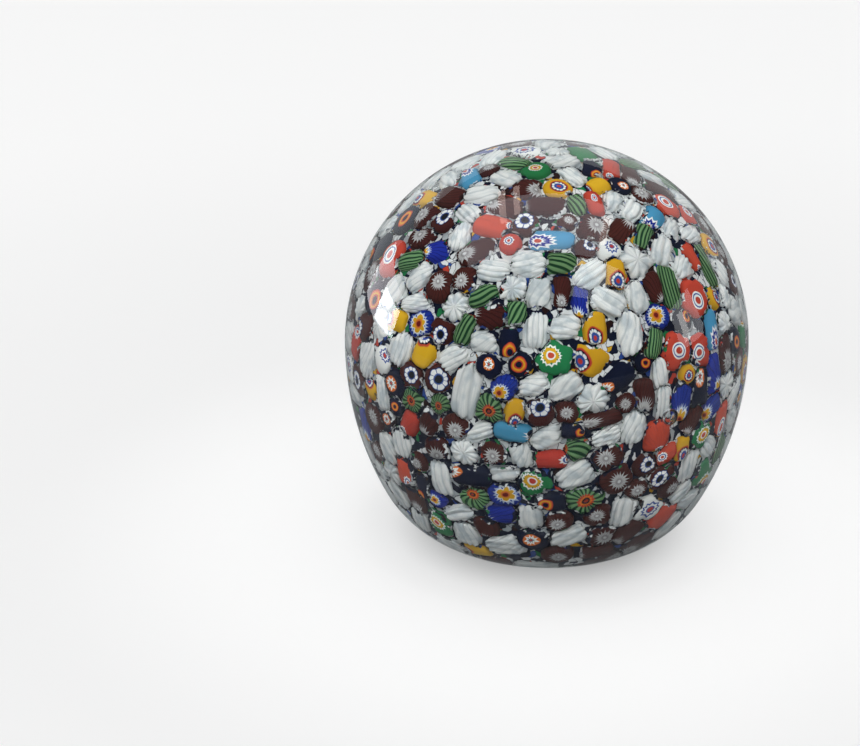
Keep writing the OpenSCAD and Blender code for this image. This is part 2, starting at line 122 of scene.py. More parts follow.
def plug(tree, value, socket):
    """Feeds a socket from another socket, or sets it to a plain value."""
    if isinstance(value, bpy.types.NodeSocket):
        tree.links.new(value, socket)
    else:
        socket.default_value = value


def math_node(tree, operation, *values):
    """One Math node; returns its output."""
    node = tree.nodes.new("ShaderNodeMath")
    node.operation = operation
    for value, socket in zip(values, node.inputs):
        plug(tree, value, socket)
    return node.outputs[0]


def vector_node(tree, operation, *values):
    """One Vector Math node; returns the output that the operation fills."""
    node = tree.nodes.new("ShaderNodeVectorMath")
    node.operation = operation
    for value, socket in zip(values, node.inputs):
        plug(tree, value, socket)
    return node.outputs["Value"] if operation in ("LENGTH", "DOT_PRODUCT") else node.outputs["Vector"]


def split(tree, vector):
    """The three parts of a vector socket."""
    node = tree.nodes.new("ShaderNodeSeparateXYZ")
    plug(tree, vector, node.inputs[0])
    return node.outputs[0], node.outputs[1], node.outputs[2]


def join(tree, x, y, z):
    """A vector socket from three values."""
    node = tree.nodes.new("ShaderNodeCombineXYZ")
    for value, socket in zip((x, y, z), node.inputs):
        plug(tree, value, socket)
    return node.outputs[0]


def ramp(tree, value, low, high, start=0.0, end=1.0, smooth=False):
    """A value that goes from low to high, made to go from start to end and held there."""
    node = tree.nodes.new("ShaderNodeMapRange")
    node.interpolation_type = "SMOOTHSTEP" if smooth else "LINEAR"
    plug(tree, value, node.inputs["Value"])
    for name, number in (("From Min", low), ("From Max", high), ("To Min", start), ("To Max", end)):
        node.inputs[name].default_value = number
    return node.outputs[0]


def laid_over(tree, mask, under, top):
    """One colour laid over another where the mask is 1."""
    mix = tree.nodes.new("ShaderNodeMix")
    mix.data_type = "RGBA"
    plug(tree, mask, mix.inputs[0])
    for colour, socket in ((under, mix.inputs[6]), (top, mix.inputs[7])):
        plug(tree, (*colour, 1.0) if isinstance(colour, tuple) else colour, socket)
    return mix.outputs[2]


def shape_input(tree, name, kind, value):
    """A named input of a geometry node tree, with its default; returns the socket's identifier."""
    socket = tree.interface.new_socket(name=name, in_out="INPUT", socket_type=kind)
    if value is not None:
        socket.default_value = value
    return socket.identifier


# ---------------------------------------------------------------- reading the canes

def islands(ob):
    """The separate solids of a CAD node, each as an array of its distinct points."""
    mesh = ob.data
    points = np.empty(len(mesh.vertices) * 3)
    mesh.vertices.foreach_get("co", points)
    points = points.reshape(-1, 3)
    keys, where = np.unique(np.round(points * 1e6).astype(np.int64), axis=0, return_inverse=True)
    where = where.reshape(-1)
    edges = np.empty(len(mesh.edges) * 2, np.int32)
    mesh.edges.foreach_get("vertices", edges)
    edges = where[edges.reshape(-1, 2)]
    label = np.arange(len(keys))
    while True:
        low = np.minimum(label[edges[:, 0]], label[edges[:, 1]])
        new = label.copy()
        np.minimum.at(new, edges[:, 0], low)
        np.minimum.at(new, edges[:, 1], low)
        new = new[new]
        if (new == label).all():
            break
        label = new
    return [keys[label == one] * 1e-6 for one in np.unique(label)]


def read_canes(outer, inner):
    """Centre, axis, half length and radius of each cane, from its outermost and innermost layers."""
    canes = []
    shells = islands(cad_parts[outer])
    shell_centres = np.array([(s.min(0) + s.max(0)) / 2 for s in shells])
    for rod in islands(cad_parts[inner]):
        centre = rod.mean(0)
        spread = rod - centre
        sizes, ways = np.linalg.eigh(spread.T @ spread)
        axis = ways[:, 2]
        if sizes[2] < 1.08 * sizes[1]:
            axis = centre - np.array([0, 0, WAIST_HEIGHT])
            axis /= np.linalg.norm(axis)
        along = spread @ axis
        centre = centre + axis * (along.max() + along.min()) / 2
        shell = shells[int(np.argmin(((shell_centres - centre) ** 2).sum(1)))] - centre
        out = centre - np.array([0, 0, WAIST_HEIGHT])
        if axis @ out < 0:
            axis = -axis
        across = shell - np.outer(shell @ axis, axis)
        radius = np.sqrt((across ** 2).sum(1)).max()
        canes.append((*centre, *axis, (along.max() - along.min()) / 2, radius))
    return canes


KINDS = {
    "white": ("white_ribbed_canes", "white_ribbed_canes", ("white_ribbed_canes",)),
    "brown": ("brown_star_cane_walls", "brown_star_cane_hearts",
              ("brown_star_cane_walls", "brown_star_cane_hearts")),
    "ring": ("brown_ring_cane_walls", "brown_ring_cane_hearts",
             ("brown_ring_cane_walls", "brown_ring_cane_rings", "brown_ring_cane_hearts")),
    "target": ("red_target_cane_walls", "red_target_cane_hearts",
               ("red_target_cane_walls", "red_target_cane_rings", "red_target_cane_hearts")),
    "flower": ("green_flower_cane_walls", "green_flower_cane_hearts",
               ("green_flower_cane_walls", "green_flower_cane_rings", "green_flower_cane_hearts")),
    "ribbed": ("green_ribbed_cane_walls", "green_ribbed_cane_hearts",
               ("green_ribbed_cane_walls", "green_ribbed_cane_hearts")),
    "yellow": ("yellow_cane_walls", "yellow_cane_hearts", ("yellow_cane_walls", "yellow_cane_hearts")),
    "light_blue": ("turquoise_cane_walls", "turquoise_cane_hearts",
                   ("turquoise_cane_walls", "turquoise_cane_hearts")),
    "cobalt": ("cobalt_cane_walls", "cobalt_cane_hearts", ("cobalt_cane_walls", "cobalt_cane_hearts")),
    "bullseye": ("navy_bullseye_cane_walls", "navy_bullseye_cane_hearts",
                 ("navy_bullseye_cane_walls", "navy_bullseye_cane_rings", "navy_bullseye_cane_hearts")),
    "navy": ("navy_star_cane_walls", "navy_star_cane_hearts",
             ("navy_star_cane_walls", "navy_star_cane_hearts")),
    "daisy": ("white_flower_cane_walls", "white_flower_cane_hearts",
              ("white_flower_cane_walls", "white_flower_cane_rings", "white_flower_cane_hearts")),
    "red": ("red_canes", "red_canes", ("red_canes",)),
}

canes = {kind: np.array(read_canes(outer, inner)) for kind, (outer, inner, _) in KINDS.items()}
every_cane = np.concatenate(list(canes.values()))
first_cane = dict(zip(canes, np.cumsum([0] + [len(c) for c in canes.values()])))


# ---------------------------------------------------------------- the shape of a cane

def cane_tree():
    """Geometry nodes: one round-ended rod set on each point, along the point's own axis."""
    tree = bpy.data.node_groups.new("round_ended_rods", "GeometryNodeTree")
    ids = {
        "Geometry": shape_input(tree, "Geometry", "NodeSocketGeometry", None),
        "Around": shape_input(tree, "Around", "NodeSocketInt", 32),
        "Along": shape_input(tree, "Along", "NodeSocketInt", 10),
        "Squareness": shape_input(tree, "Squareness", "NodeSocketFloat", 0.5),
        "Glass": shape_input(tree, "Glass", "NodeSocketMaterial", None),
    }
    tree.interface.new_socket(name="Geometry", in_out="OUTPUT", socket_type="NodeSocketGeometry")
    given = tree.nodes.new("NodeGroupInput").outputs
    grid = tree.nodes.new("GeometryNodeMeshGrid")
    grid.inputs["Size X"].default_value = 1.0
    grid.inputs["Size Y"].default_value = 1.0
    plug(tree, math_node(tree, "ADD", given["Around"], 1.0), grid.inputs["Vertices X"])
    plug(tree, given["Along"], grid.inputs["Vertices Y"])
    x, y, _ = split(tree, tree.nodes.new("GeometryNodeInputPosition").outputs[0])
    turn = math_node(tree, "MULTIPLY", x, 2 * math.pi)
    climb = math_node(tree, "MULTIPLY", y, math.pi)
    wide = math_node(tree, "POWER", math_node(tree, "MAXIMUM", math_node(tree, "COSINE", climb), 0.0),
                     given["Squareness"])
    sine = math_node(tree, "SINE", climb)
    tall = math_node(tree, "MULTIPLY", math_node(tree, "SIGN", sine),
                     math_node(tree, "POWER", math_node(tree, "ABSOLUTE", sine), given["Squareness"]))
    round_rod = join(tree, math_node(tree, "MULTIPLY", math_node(tree, "COSINE", turn), wide),
                     math_node(tree, "MULTIPLY", math_node(tree, "SINE", turn), wide), tall)
    mark = tree.nodes.new("GeometryNodeStoreNamedAttribute")
    mark.data_type = "FLOAT_VECTOR"
    mark.domain = "POINT"
    mark.inputs["Name"].default_value = "drawn"
    plug(tree, grid.outputs["Mesh"], mark.inputs["Geometry"])
    plug(tree, round_rod, mark.inputs["Value"])
    move = tree.nodes.new("GeometryNodeSetPosition")
    plug(tree, mark.outputs["Geometry"], move.inputs["Geometry"])
    plug(tree, round_rod, move.inputs["Position"])
    weld = tree.nodes.new("GeometryNodeMergeByDistance")
    weld.inputs["Distance"].default_value = 0.0005
    plug(tree, move.outputs["Geometry"], weld.inputs["Geometry"])

    def from_point(name, kind):
        node = tree.nodes.new("GeometryNodeInputNamedAttribute")
        node.data_type = kind
        node.inputs["Name"].default_value = name
        return node.outputs["Attribute"]

    aim = tree.nodes.new("FunctionNodeAlignRotationToVector")
    aim.axis = "Z"
    plug(tree, from_point("axis", "FLOAT_VECTOR"), aim.inputs["Vector"])
    roll = tree.nodes.new("FunctionNodeRotateRotation")
    roll.rotation_space = "LOCAL"
    plug(tree, aim.outputs["Rotation"], roll.inputs["Rotation"])
    roll_angle = tree.nodes.new("FunctionNodeAxisAngleToRotation")
    roll_angle.inputs["Axis"].default_value = (0, 0, 1)
    plug(tree, from_point("roll", "FLOAT"), roll_angle.inputs["Angle"])
    plug(tree, roll_angle.outputs["Rotation"], roll.inputs["Rotate By"])
    seat = tree.nodes.new("GeometryNodeInstanceOnPoints")
    plug(tree, given["Geometry"], seat.inputs["Points"])
    plug(tree, weld.outputs["Geometry"], seat.inputs["Instance"])
    plug(tree, roll.outputs["Rotation"], seat.inputs["Rotation"])
    girth = from_point("girth", "FLOAT")
    plug(tree, join(tree, girth, girth, from_point("reach", "FLOAT")), seat.inputs["Scale"])
    real = tree.nodes.new("GeometryNodeRealizeInstances")
    plug(tree, seat.outputs["Instances"], real.inputs["Geometry"])
    paint = tree.nodes.new("GeometryNodeSetMaterial")
    plug(tree, real.outputs["Geometry"], paint.inputs["Geometry"])
    plug(tree, given["Glass"], paint.inputs["Material"])
    plug(tree, paint.outputs["Geometry"], tree.nodes.new("NodeGroupOutput").inputs["Geometry"])
    return tree, ids


RODS, ROD_IDS = cane_tree()
dice = np.random.default_rng(12)


def built(name, mesh, tree, ids, settings):
    """An object grown from a mesh by a geometry node tree, turned into a plain mesh."""
    seed = bpy.data.objects.new(name + "_seed", mesh)
    bpy.context.scene.collection.objects.link(seed)
    grow = seed.modifiers.new("grow", "NODES")
    grow.node_group = tree
    for key, value in settings.items():
        grow[ids[key]] = value
    graph = bpy.context.evaluated_depsgraph_get()
    plain = bpy.data.meshes.new_from_object(seed.evaluated_get(graph), depsgraph=graph)
    bpy.data.objects.remove(seed)
    plain.name = name
    ob = bpy.data.objects.new(name, plain)
    bpy.context.scene.collection.objects.link(ob)
    return ob


def rods(name, rows, numbers, material, around, along, squareness):
    """Rods for some of the canes, each a little larger than its place, ready to be pressed in."""
    mesh = bpy.data.meshes.new(name + "_places")
    mesh.from_pydata([tuple(row[:3]) for row in rows], [], [])
    count = len(rows)
    for label, kind, values in (
        ("axis", "FLOAT_VECTOR", rows[:, 3:6]),
        ("girth", "FLOAT", rows[:, 7] * SWELL * dice.uniform(0.90, 1.10, count)),
        ("reach", "FLOAT", rows[:, 6] * STRETCH * dice.uniform(0.94, 1.06, count)),
        ("roll", "FLOAT", dice.uniform(0, 2 * math.pi, count)),
        ("tint", "FLOAT", dice.uniform(0, 1, count)),
        ("wring", "FLOAT", dice.uniform(-1, 1, count)),
        ("number", "FLOAT", numbers.astype(float)),
    ):
        layer = mesh.attributes.new(label, kind, "POINT")
        layer.data.foreach_set("vector" if kind == "FLOAT_VECTOR" else "value",
                               np.ascontiguousarray(values, dtype=np.float32).reshape(-1))
    return built(name, mesh, RODS, ROD_IDS,
                 {"Around": around, "Along": along, "Squareness": squareness, "Glass": material})


# ---------------------------------------------------------------- pressing the canes together

def to_axis(points, rows):
    """Distance of each point from its paired cane's axis, and the nearest place on it."""
    away = points - rows[..., 0:3]
    along = np.clip((away * rows[..., 3:6]).sum(-1), -rows[..., 8], rows[..., 8])
    foot = rows[..., 0:3] + along[..., None] * rows[..., 3:6]
    return np.linalg.norm(points - foot, axis=-1), foot


def profile_depth(points):
    """Depth below the dome's surface, and the inward direction there."""
    ring = np.hypot(points[:, 0], points[:, 1])
    rise = points[:, 2] - WAIST_HEIGHT
    down_side = rise < 0
    on_foot = down_side & (np.arctan2(ring - SIDE_CENTRE, rise) > SIDE_END)
    flat = on_foot & (ring < FOOT_CENTRE)
    centre_ring = np.where(on_foot, FOOT_CENTRE, np.where(down_side, SIDE_CENTRE, 0.0))
    centre_rise = np.where(on_foot, FOOT_RADIUS - WAIST_HEIGHT, 0.0)
    reach = np.where(on_foot, FOOT_RADIUS, np.where(down_side, SIDE_RADIUS, CROWN_RADIUS))
    span = np.hypot(ring - centre_ring, rise - centre_rise)
    depth = np.where(flat, points[:, 2], reach - span)
    out_ring = np.where(flat, 0.0, (ring - centre_ring) / np.maximum(span, 1e-9))
    out_rise = np.where(flat, -1.0, (rise - centre_rise) / np.maximum(span, 1e-9))
    safe = np.maximum(ring, 1e-9)
    out = np.stack([points[:, 0] / safe * out_ring, points[:, 1] / safe * out_ring, out_rise], 1)
    return depth, -out


bubble_solid = min(islands(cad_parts["glass_casing"]), key=lambda points: np.ptp(points, 0).sum())
bubble_radius = float(np.ptp(bubble_solid, 0).mean()) / 2 * BUBBLE_SWELL
bubble_middle = (bubble_solid.min(0) + bubble_solid.max(0)) / 2
bubble_middle += profile_depth(bubble_middle[None])[1][0] * (bubble_radius + BUBBLE_COVER - CASING_WALL / 2)
straight = np.maximum(every_cane[:, 6] - every_cane[:, 7], 0.0)
cane_rows = np.concatenate([every_cane, straight[:, None]], 1)
cane_rows[:, 7] *= dice.uniform(0.88, 1.12, len(cane_rows))
slant_dice = np.concatenate([dice.uniform(0.35, 0.85, (len(cane_rows), 1)),
                             dice.normal(0, 0.13, (len(cane_rows), 3)),
                             dice.normal(0, 1, (len(cane_rows), 3))], 1)
gaps = np.linalg.norm(cane_rows[:, None, :3] - cane_rows[None, :, :3], axis=2)
np.fill_diagonal(gaps, 9.0)
nearest = np.argsort(gaps, axis=1)[:, :NEIGHBOURS]


def waved(points):
    """Points shifted by slow waves, so that the seams between canes wander instead of running straight."""
    shift = np.zeros_like(points)
    for length, size in SEAM_WAVES:
        turn = points * (2 * math.pi / length)
        shift += size * np.sin(turn[..., [1, 2, 0]] + 0.7 * turn[..., [2, 0, 1]] + np.array([0.4, 2.1, 4.4]))
    return points + shift


def per_point(mesh, name, field, width):
    """A named attribute as an array with one row per mesh point."""
    values = np.empty(len(mesh.vertices) * width, np.float32)
    mesh.attributes[name].data.foreach_get(field, values)
    return values.reshape(-1, width).astype(float)


def unit(vectors):
    return vectors / np.maximum(np.linalg.norm(vectors, axis=-1, keepdims=True), 1e-9)


def slanted(points, drawn, number):
    """Drawn coordinates turned about each cane's middle, as on a cane that was cut on the slant.

    A cane that lies along the wall shows its cut end a little way round its side.
    """
    centres, axes = cane_rows[:, 0:3], cane_rows[:, 3:6]
    outward = -profile_depth(centres)[1]
    lean = np.arccos(np.clip((axes * outward).sum(1), -1, 1))
    slide = np.clip(lean - UPRIGHT_LEAN, 0, None) * slant_dice[:, 0] + LEAST_SLANT
    side = unit(outward - axes * (axes * outward).sum(1)[:, None])
    slant = unit(axes * np.cos(slide)[:, None] + side * np.sin(slide)[:, None] + slant_dice[:, 1:4])
    east = unit(np.cross(slant_dice[:, 4:7], slant))
    north = np.cross(slant, east)
    away = points - centres[number]
    along = (away * axes[number]).sum(1)
    across = unit(away - along[:, None] * axes[number])
    spot = across * np.hypot(drawn[:, 0], drawn[:, 1])[:, None] + axes[number] * drawn[:, 2:3]
    return np.stack([(spot * way[number]).sum(1) for way in (east, north, slant)], 1)


def press(ob, ribs, rib_depth, twist, on_slant, seam=0.00014, rounds=7):
    """Pushes soft canes back from their neighbours and from the casing, then draws in their hollows."""
    mesh = ob.data
    points = per_point(mesh, "position", "vector", 3)
    drawn = per_point(mesh, "drawn", "vector", 3)
    tint = per_point(mesh, "tint", "value", 1)[:, 0]
    wring = per_point(mesh, "wring", "value", 1)[:, 0]
    number = np.round(per_point(mesh, "number", "value", 1)[:, 0]).astype(int)
    if on_slant:
        turned_pattern = slanted(points, drawn, number).astype(np.float32).reshape(-1)
        mesh.attributes["drawn"].data.foreach_set("vector", turned_pattern)
    mine = cane_rows[number]
    others = cane_rows[nearest[number]]

    def room():
        """How far each point could still go before it meets a neighbour."""
        own, _ = to_axis(waved(points), mine)
        theirs, _ = to_axis(waved(points)[:, None, :], others)
        return ((theirs - others[..., 7]) - (own - mine[:, 7])[:, None]).min(1)

    for _ in range(rounds):
        own, foot = to_axis(points, mine)
        step = np.clip(seam - room(), 0, None) * 0.5
        way = (foot - points) / np.maximum(own, 1e-6)[:, None]
        points += way * np.minimum(step, own * 0.5)[:, None]
    depth, inward = profile_depth(points)
    points += inward * np.clip(CASING_WALL + CASING_CLEARANCE - depth, 0, None)[:, None]
    away = points - bubble_middle
    sunk = np.clip(bubble_radius + BUBBLE_CLEARANCE - np.linalg.norm(away, axis=1), 0, None)
    points += unit(away) * sunk[:, None]
    turn = np.arctan2(drawn[:, 1], drawn[:, 0])
    turn += drawn[:, 2] * wring * twist + RIB_WAVER * np.sin(2 * turn + 40 * tint)
    turn += RUFFLE * np.sin(RUFFLE_TURNS * drawn[:, 2] + 30 * tint)
    ridge = np.abs(np.sin(turn * (ribs or np.floor(WHITE_RIBS + MORE_RIBS * tint)) / 2))
    ring = np.hypot(drawn[:, 0], drawn[:, 1])
    hollow = rib_depth * (1 - ridge) * np.clip((ring - 0.12) * 1.8, 0, 1)
    _, foot = to_axis(points, mine)
    points += (foot - points) * hollow[:, None]
    mesh.attributes["position"].data.foreach_set("vector", points.astype(np.float32).reshape(-1))
    clear = mesh.attributes.new("clear", "FLOAT", "POINT")
    clear.data.foreach_set("value", (room() * HALF_GAP_MM).astype(np.float32))
    mesh.shade_smooth()
    mesh.update()


# ---------------------------------------------------------------- materials

def drawn_rod_group():
    """What every patterned cane shares: its radius with teeth, petals and ribs drawn through it."""
    tree = bpy.data.node_groups.new("drawn_rod", "ShaderNodeTree")
    for name, kind, value in (
        ("Drawn", "NodeSocketVector", (0.0, 0.0, 0.0)),
        ("Tint", "NodeSocketFloat", 0.5),
        ("Wring", "NodeSocketFloat", 0.0),
        ("Points", "NodeSocketFloat", 12.0),
        ("Point depth", "NodeSocketFloat", 0.1),
        ("Needle", "NodeSocketFloat", 1.0),
        ("Fuzz", "NodeSocketFloat", 0.03),
        ("Bend", "NodeSocketFloat", 0.2),
    ):
        tree.interface.new_socket(name=name, in_out="INPUT", socket_type=kind).default_value = value
    for name in ("Round", "Toothed", "Wave", "Streak", "Smoke"):
        tree.interface.new_socket(name=name, in_out="OUTPUT", socket_type="NodeSocketFloat")
    given = tree.nodes.new("NodeGroupInput").outputs
    out = tree.nodes.new("NodeGroupOutput").inputs

    def noise(vector, scale, detail, seed):
        node = tree.nodes.new("ShaderNodeTexNoise")
        node.noise_dimensions = "4D"
        node.inputs["Scale"].default_value = scale
        node.inputs["Detail"].default_value = detail
        plug(tree, vector, node.inputs["Vector"])
        plug(tree, math_node(tree, "MULTIPLY", given["Tint"], seed), node.inputs["W"])
        return node.outputs

    def wave_of(value, turns, height, start):
        """A sine of a value, started at a place that the cane's tint gives."""
        place = math_node(tree, "ADD", math_node(tree, "MULTIPLY", value, turns),
                          math_node(tree, "MULTIPLY", given["Tint"], start))
        return math_node(tree, "MULTIPLY", height, math_node(tree, "SINE", place))

    sway = vector_node(tree, "SUBTRACT", noise(given["Drawn"], 1.1, 1.0, 31.0)[1], (0.5, 0.5, 0.5))
    bent = vector_node(tree, "ADD", given["Drawn"],
                       vector_node(tree, "MULTIPLY", sway, join(tree, given["Bend"], given["Bend"], 0.0)))
    x, y, z = split(tree, bent)
    size = math_node(tree, "ADD", 0.86, math_node(tree, "MULTIPLY", 0.28, math_node(
        tree, "FRACT", math_node(tree, "MULTIPLY", given["Tint"], 7.7))))
    radius = math_node(tree, "DIVIDE", vector_node(tree, "LENGTH", join(tree, x, y, 0.0)), size)
    angle = math_node(tree, "ARCTAN2", y, x)
    waver = wave_of(angle, 2.0, RIB_WAVER, 40.0)
    ruffle = wave_of(z, RUFFLE_TURNS, RUFFLE, 30.0)
    swirl = math_node(tree, "ADD", math_node(tree, "ADD", angle, math_node(tree, "ADD", waver, ruffle)),
                      math_node(tree, "MULTIPLY", z, given["Wring"]))
    speckle = math_node(tree, "SUBTRACT", noise(given["Drawn"], 7.0, 2.0, 40.0)[0], 0.5)
    jitter = math_node(tree, "MULTIPLY", speckle, math_node(tree, "MULTIPLY", given["Fuzz"], 2.0))
    wave = math_node(tree, "ABSOLUTE", math_node(tree, "SINE", math_node(
        tree, "MULTIPLY", math_node(tree, "MULTIPLY", swirl, given["Points"]), 0.5)))
    teeth = math_node(tree, "MULTIPLY", math_node(tree, "POWER", wave, given["Needle"]), given["Point depth"])
    plug(tree, math_node(tree, "ADD", radius, math_node(tree, "MULTIPLY", jitter, 0.5)), out["Round"])
    plug(tree, math_node(tree, "ADD", radius, math_node(tree, "ADD", jitter, teeth)), out["Toothed"])
    plug(tree, wave, out["Wave"])
    lengthwise = join(tree, math_node(tree, "MULTIPLY", math_node(tree, "COSINE", swirl), 3.0),
                      math_node(tree, "MULTIPLY", math_node(tree, "SINE", swirl), 3.0),
                      math_node(tree, "MULTIPLY", z, 0.4))
    plug(tree, noise(lengthwise, 3.0, 3.0, 25.0)[0], out["Streak"])
    plug(tree, noise(given["Drawn"], 1.3, 2.0, 60.0)[0], out["Smoke"])
    return tree


DRAWN_ROD = drawn_rod_group()


def chips_group():
    """Crumbs of glass: mostly white and grey, some coloured, with dark glass between them."""
    tree = bpy.data.node_groups.new("glass_chips", "ShaderNodeTree")
    tree.interface.new_socket(name="Where", in_out="INPUT", socket_type="NodeSocketVector")
    tree.interface.new_socket(name="Scale", in_out="INPUT", socket_type="NodeSocketFloat")
    tree.interface.new_socket(name="Colour", in_out="OUTPUT", socket_type="NodeSocketColor")
    given = tree.nodes.new("NodeGroupInput").outputs
    out = tree.nodes.new("NodeGroupOutput").inputs
    sway = tree.nodes.new("ShaderNodeTexNoise")
    sway.inputs["Scale"].default_value = 240.0
    sway.inputs["Detail"].default_value = 2.0
    plug(tree, given["Where"], sway.inputs["Vector"])
    bend = vector_node(tree, "MULTIPLY", vector_node(tree, "SUBTRACT", sway.outputs[1], (0.5, 0.5, 0.5)),
                       (0.005, 0.005, 0.005))
    bent = vector_node(tree, "ADD", given["Where"], bend)

    def cells(feature, output):
        node = tree.nodes.new("ShaderNodeTexVoronoi")
        node.feature = feature
        plug(tree, given["Scale"], node.inputs["Scale"])
        plug(tree, bent, node.inputs["Vector"])
        return node.outputs[output]

    palette = tree.nodes.new("ShaderNodeValToRGB")
    palette.color_ramp.interpolation = "CONSTANT"
    stops = ((0.0, CRUMB_WHITE), (0.44, CRUMB_GREY), (0.62, NAVY), (0.74, DARK_BROWN),
             (0.82, GREEN), (0.88, BLUE), (0.94, RED), (0.98, YELLOW))
    for place, colour in stops:
        stop = palette.color_ramp.elements[0] if place == 0.0 else palette.color_ramp.elements.new(place)
        stop.color = (*colour, 1)
    palette.color_ramp.elements.remove(palette.color_ramp.elements[-1])
    pick, second_pick, _ = split(tree, cells("F1", "Color"))
    plug(tree, pick, palette.inputs[0])
    height = split(tree, given["Where"])[2]
    dark_share = ramp(tree, height, *DARK_CRUMBS)
    crumbs = laid_over(tree, math_node(tree, "LESS_THAN", second_pick, dark_share), palette.outputs[0], NAVY)
    line = ramp(tree, cells("DISTANCE_TO_EDGE", "Distance"), 0.01, 0.07)
    plug(tree, laid_over(tree, line, NAVY, crumbs), out["Colour"])
    return tree


CHIPS = chips_group()


def seam_group():
    """A ragged mask along a cane's edge, from how many millimetres clear of its neighbours it is."""
    tree = bpy.data.node_groups.new("ragged_seam", "ShaderNodeTree")
    tree.interface.new_socket(name="Where", in_out="INPUT", socket_type="NodeSocketVector")
    tree.interface.new_socket(name="Clear", in_out="INPUT", socket_type="NodeSocketFloat")
    tree.interface.new_socket(name="Breadth", in_out="INPUT", socket_type="NodeSocketFloat")
    tree.interface.new_socket(name="Mask", in_out="OUTPUT", socket_type="NodeSocketFloat")
    given = tree.nodes.new("NodeGroupInput").outputs
    out = tree.nodes.new("NodeGroupOutput").inputs

    def noise_between(scale, low, high):
        node = tree.nodes.new("ShaderNodeTexNoise")
        node.inputs["Scale"].default_value = scale
        node.inputs["Detail"].default_value = 2.0
        plug(tree, given["Where"], node.inputs["Vector"])
        return ramp(tree, node.outputs[0], 0.35, 0.68, low, high)

    wider_low_down = ramp(tree, split(tree, given["Where"])[2], *SEAM_BREADTH)
    edge = math_node(tree, "MULTIPLY", noise_between(150.0, -0.22, 0.50),
                     math_node(tree, "MULTIPLY", given["Breadth"], wider_low_down))
    frayed = math_node(tree, "ADD", given["Clear"], noise_between(1100.0, -0.14, 0.14))
    plug(tree, ramp(tree, math_node(tree, "SUBTRACT", frayed, edge), 0.05, -0.05), out["Mask"])
    return tree


SEAM = seam_group()


class Cane:
    """A cane's glass: rings, stars and petals laid one over the other on its drawn coordinates."""

    def __init__(self, name, body, twist=0.0, roughness=0.4):
        self.material = bpy.data.materials.new(name)
        self.material.use_nodes = True
        self.tree = self.material.node_tree
        self.tree.nodes.clear()
        self.shader = self.tree.nodes.new("ShaderNodeBsdfPrincipled")
        self.shader.inputs["Roughness"].default_value = roughness
        self.shader.inputs["Specular IOR Level"].default_value = 0.02
        output = self.tree.nodes.new("ShaderNodeOutputMaterial")
        self.tree.links.new(self.shader.outputs[0], output.inputs["Surface"])
        self.drawn = self.attribute("drawn", "Vector")
        self.tint = self.attribute("tint", "Fac")
        self.wring = self.times(self.attribute("wring", "Fac"), twist)
        self.clear = self.attribute("clear", "Fac")
        self.where = self.tree.nodes.new("ShaderNodeTexCoord").outputs["Object"]
        self.colour = body

    def attribute(self, name, output):
        node = self.tree.nodes.new("ShaderNodeAttribute")
        node.attribute_name = name
        return node.outputs[output]

    def rod(self, points=12.0, depth=0.1, fuzz=0.03, needle=1.0, bend=0.32):
        node = self.tree.nodes.new("ShaderNodeGroup")
        node.node_tree = DRAWN_ROD
        for name, value in (("Drawn", self.drawn), ("Tint", self.tint), ("Wring", self.wring),
                            ("Points", points), ("Point depth", depth), ("Needle", needle),
                            ("Fuzz", fuzz), ("Bend", bend)):
            plug(self.tree, value, node.inputs[name])
        return node.outputs

    def step(self, value, low, high):
        """0 below low, 1 above high."""
        return ramp(self.tree, value, low, high, smooth=True)

    def inside(self, value, edge, soft=0.02):
        """1 below the edge, 0 above."""
        return math_node(self.tree, "SUBTRACT", 1.0, self.step(value, edge - soft, edge + soft))

    def lay(self, colour, mask):
        """Lays a colour over what is there, where the mask is 1."""
        self.colour = laid_over(self.tree, mask, self.colour, colour)

    def times(self, a, b):
        return math_node(self.tree, "MULTIPLY", a, b)

    def emboss(self, height, distance):
        """Raises the surface by a height between 0 and 1."""
        bump = self.tree.nodes.new("ShaderNodeBump")
        bump.inputs["Strength"].default_value = 1.0
        bump.inputs["Distance"].default_value = distance
        plug(self.tree, height, bump.inputs["Height"])
        plug(self.tree, bump.outputs[0], self.shader.inputs["Normal"])

    def seamed(self, breadth=1.0):
        """Chips of the glass between the canes, caught along this one's edge."""
        chips = self.tree.nodes.new("ShaderNodeGroup")
        chips.node_tree = CHIPS
        seam = self.tree.nodes.new("ShaderNodeGroup")
        seam.node_tree = SEAM
        plug(self.tree, self.where, chips.inputs["Where"])
        chips.inputs["Scale"].default_value = SEAM_CRUMBS
        plug(self.tree, self.where, seam.inputs["Where"])
        plug(self.tree, self.clear, seam.inputs["Clear"])
        seam.inputs["Breadth"].default_value = breadth
        self.lay(chips.outputs["Colour"], seam.outputs["Mask"])

    def done(self, spread=0.30, breadth=1.0):
        """Varies the whole a little from cane to cane, then lays the seam's chips along its edge."""
        tree = self.tree
        shade = tree.nodes.new("ShaderNodeHueSaturation")
        plug(tree, (*self.colour, 1.0) if isinstance(self.colour, tuple) else self.colour,
             shade.inputs["Color"])
        plug(tree, math_node(tree, "ADD", 1.0 - spread / 2, self.times(self.tint, spread)),
             shade.inputs["Value"])
        plug(tree, math_node(tree, "ADD", 0.496, self.times(self.tint, 0.008)), shade.inputs["Hue"])
        self.colour = shade.outputs[0]
        self.seamed(breadth)
        plug(tree, self.colour, self.shader.inputs["Base Color"])
        return self.material


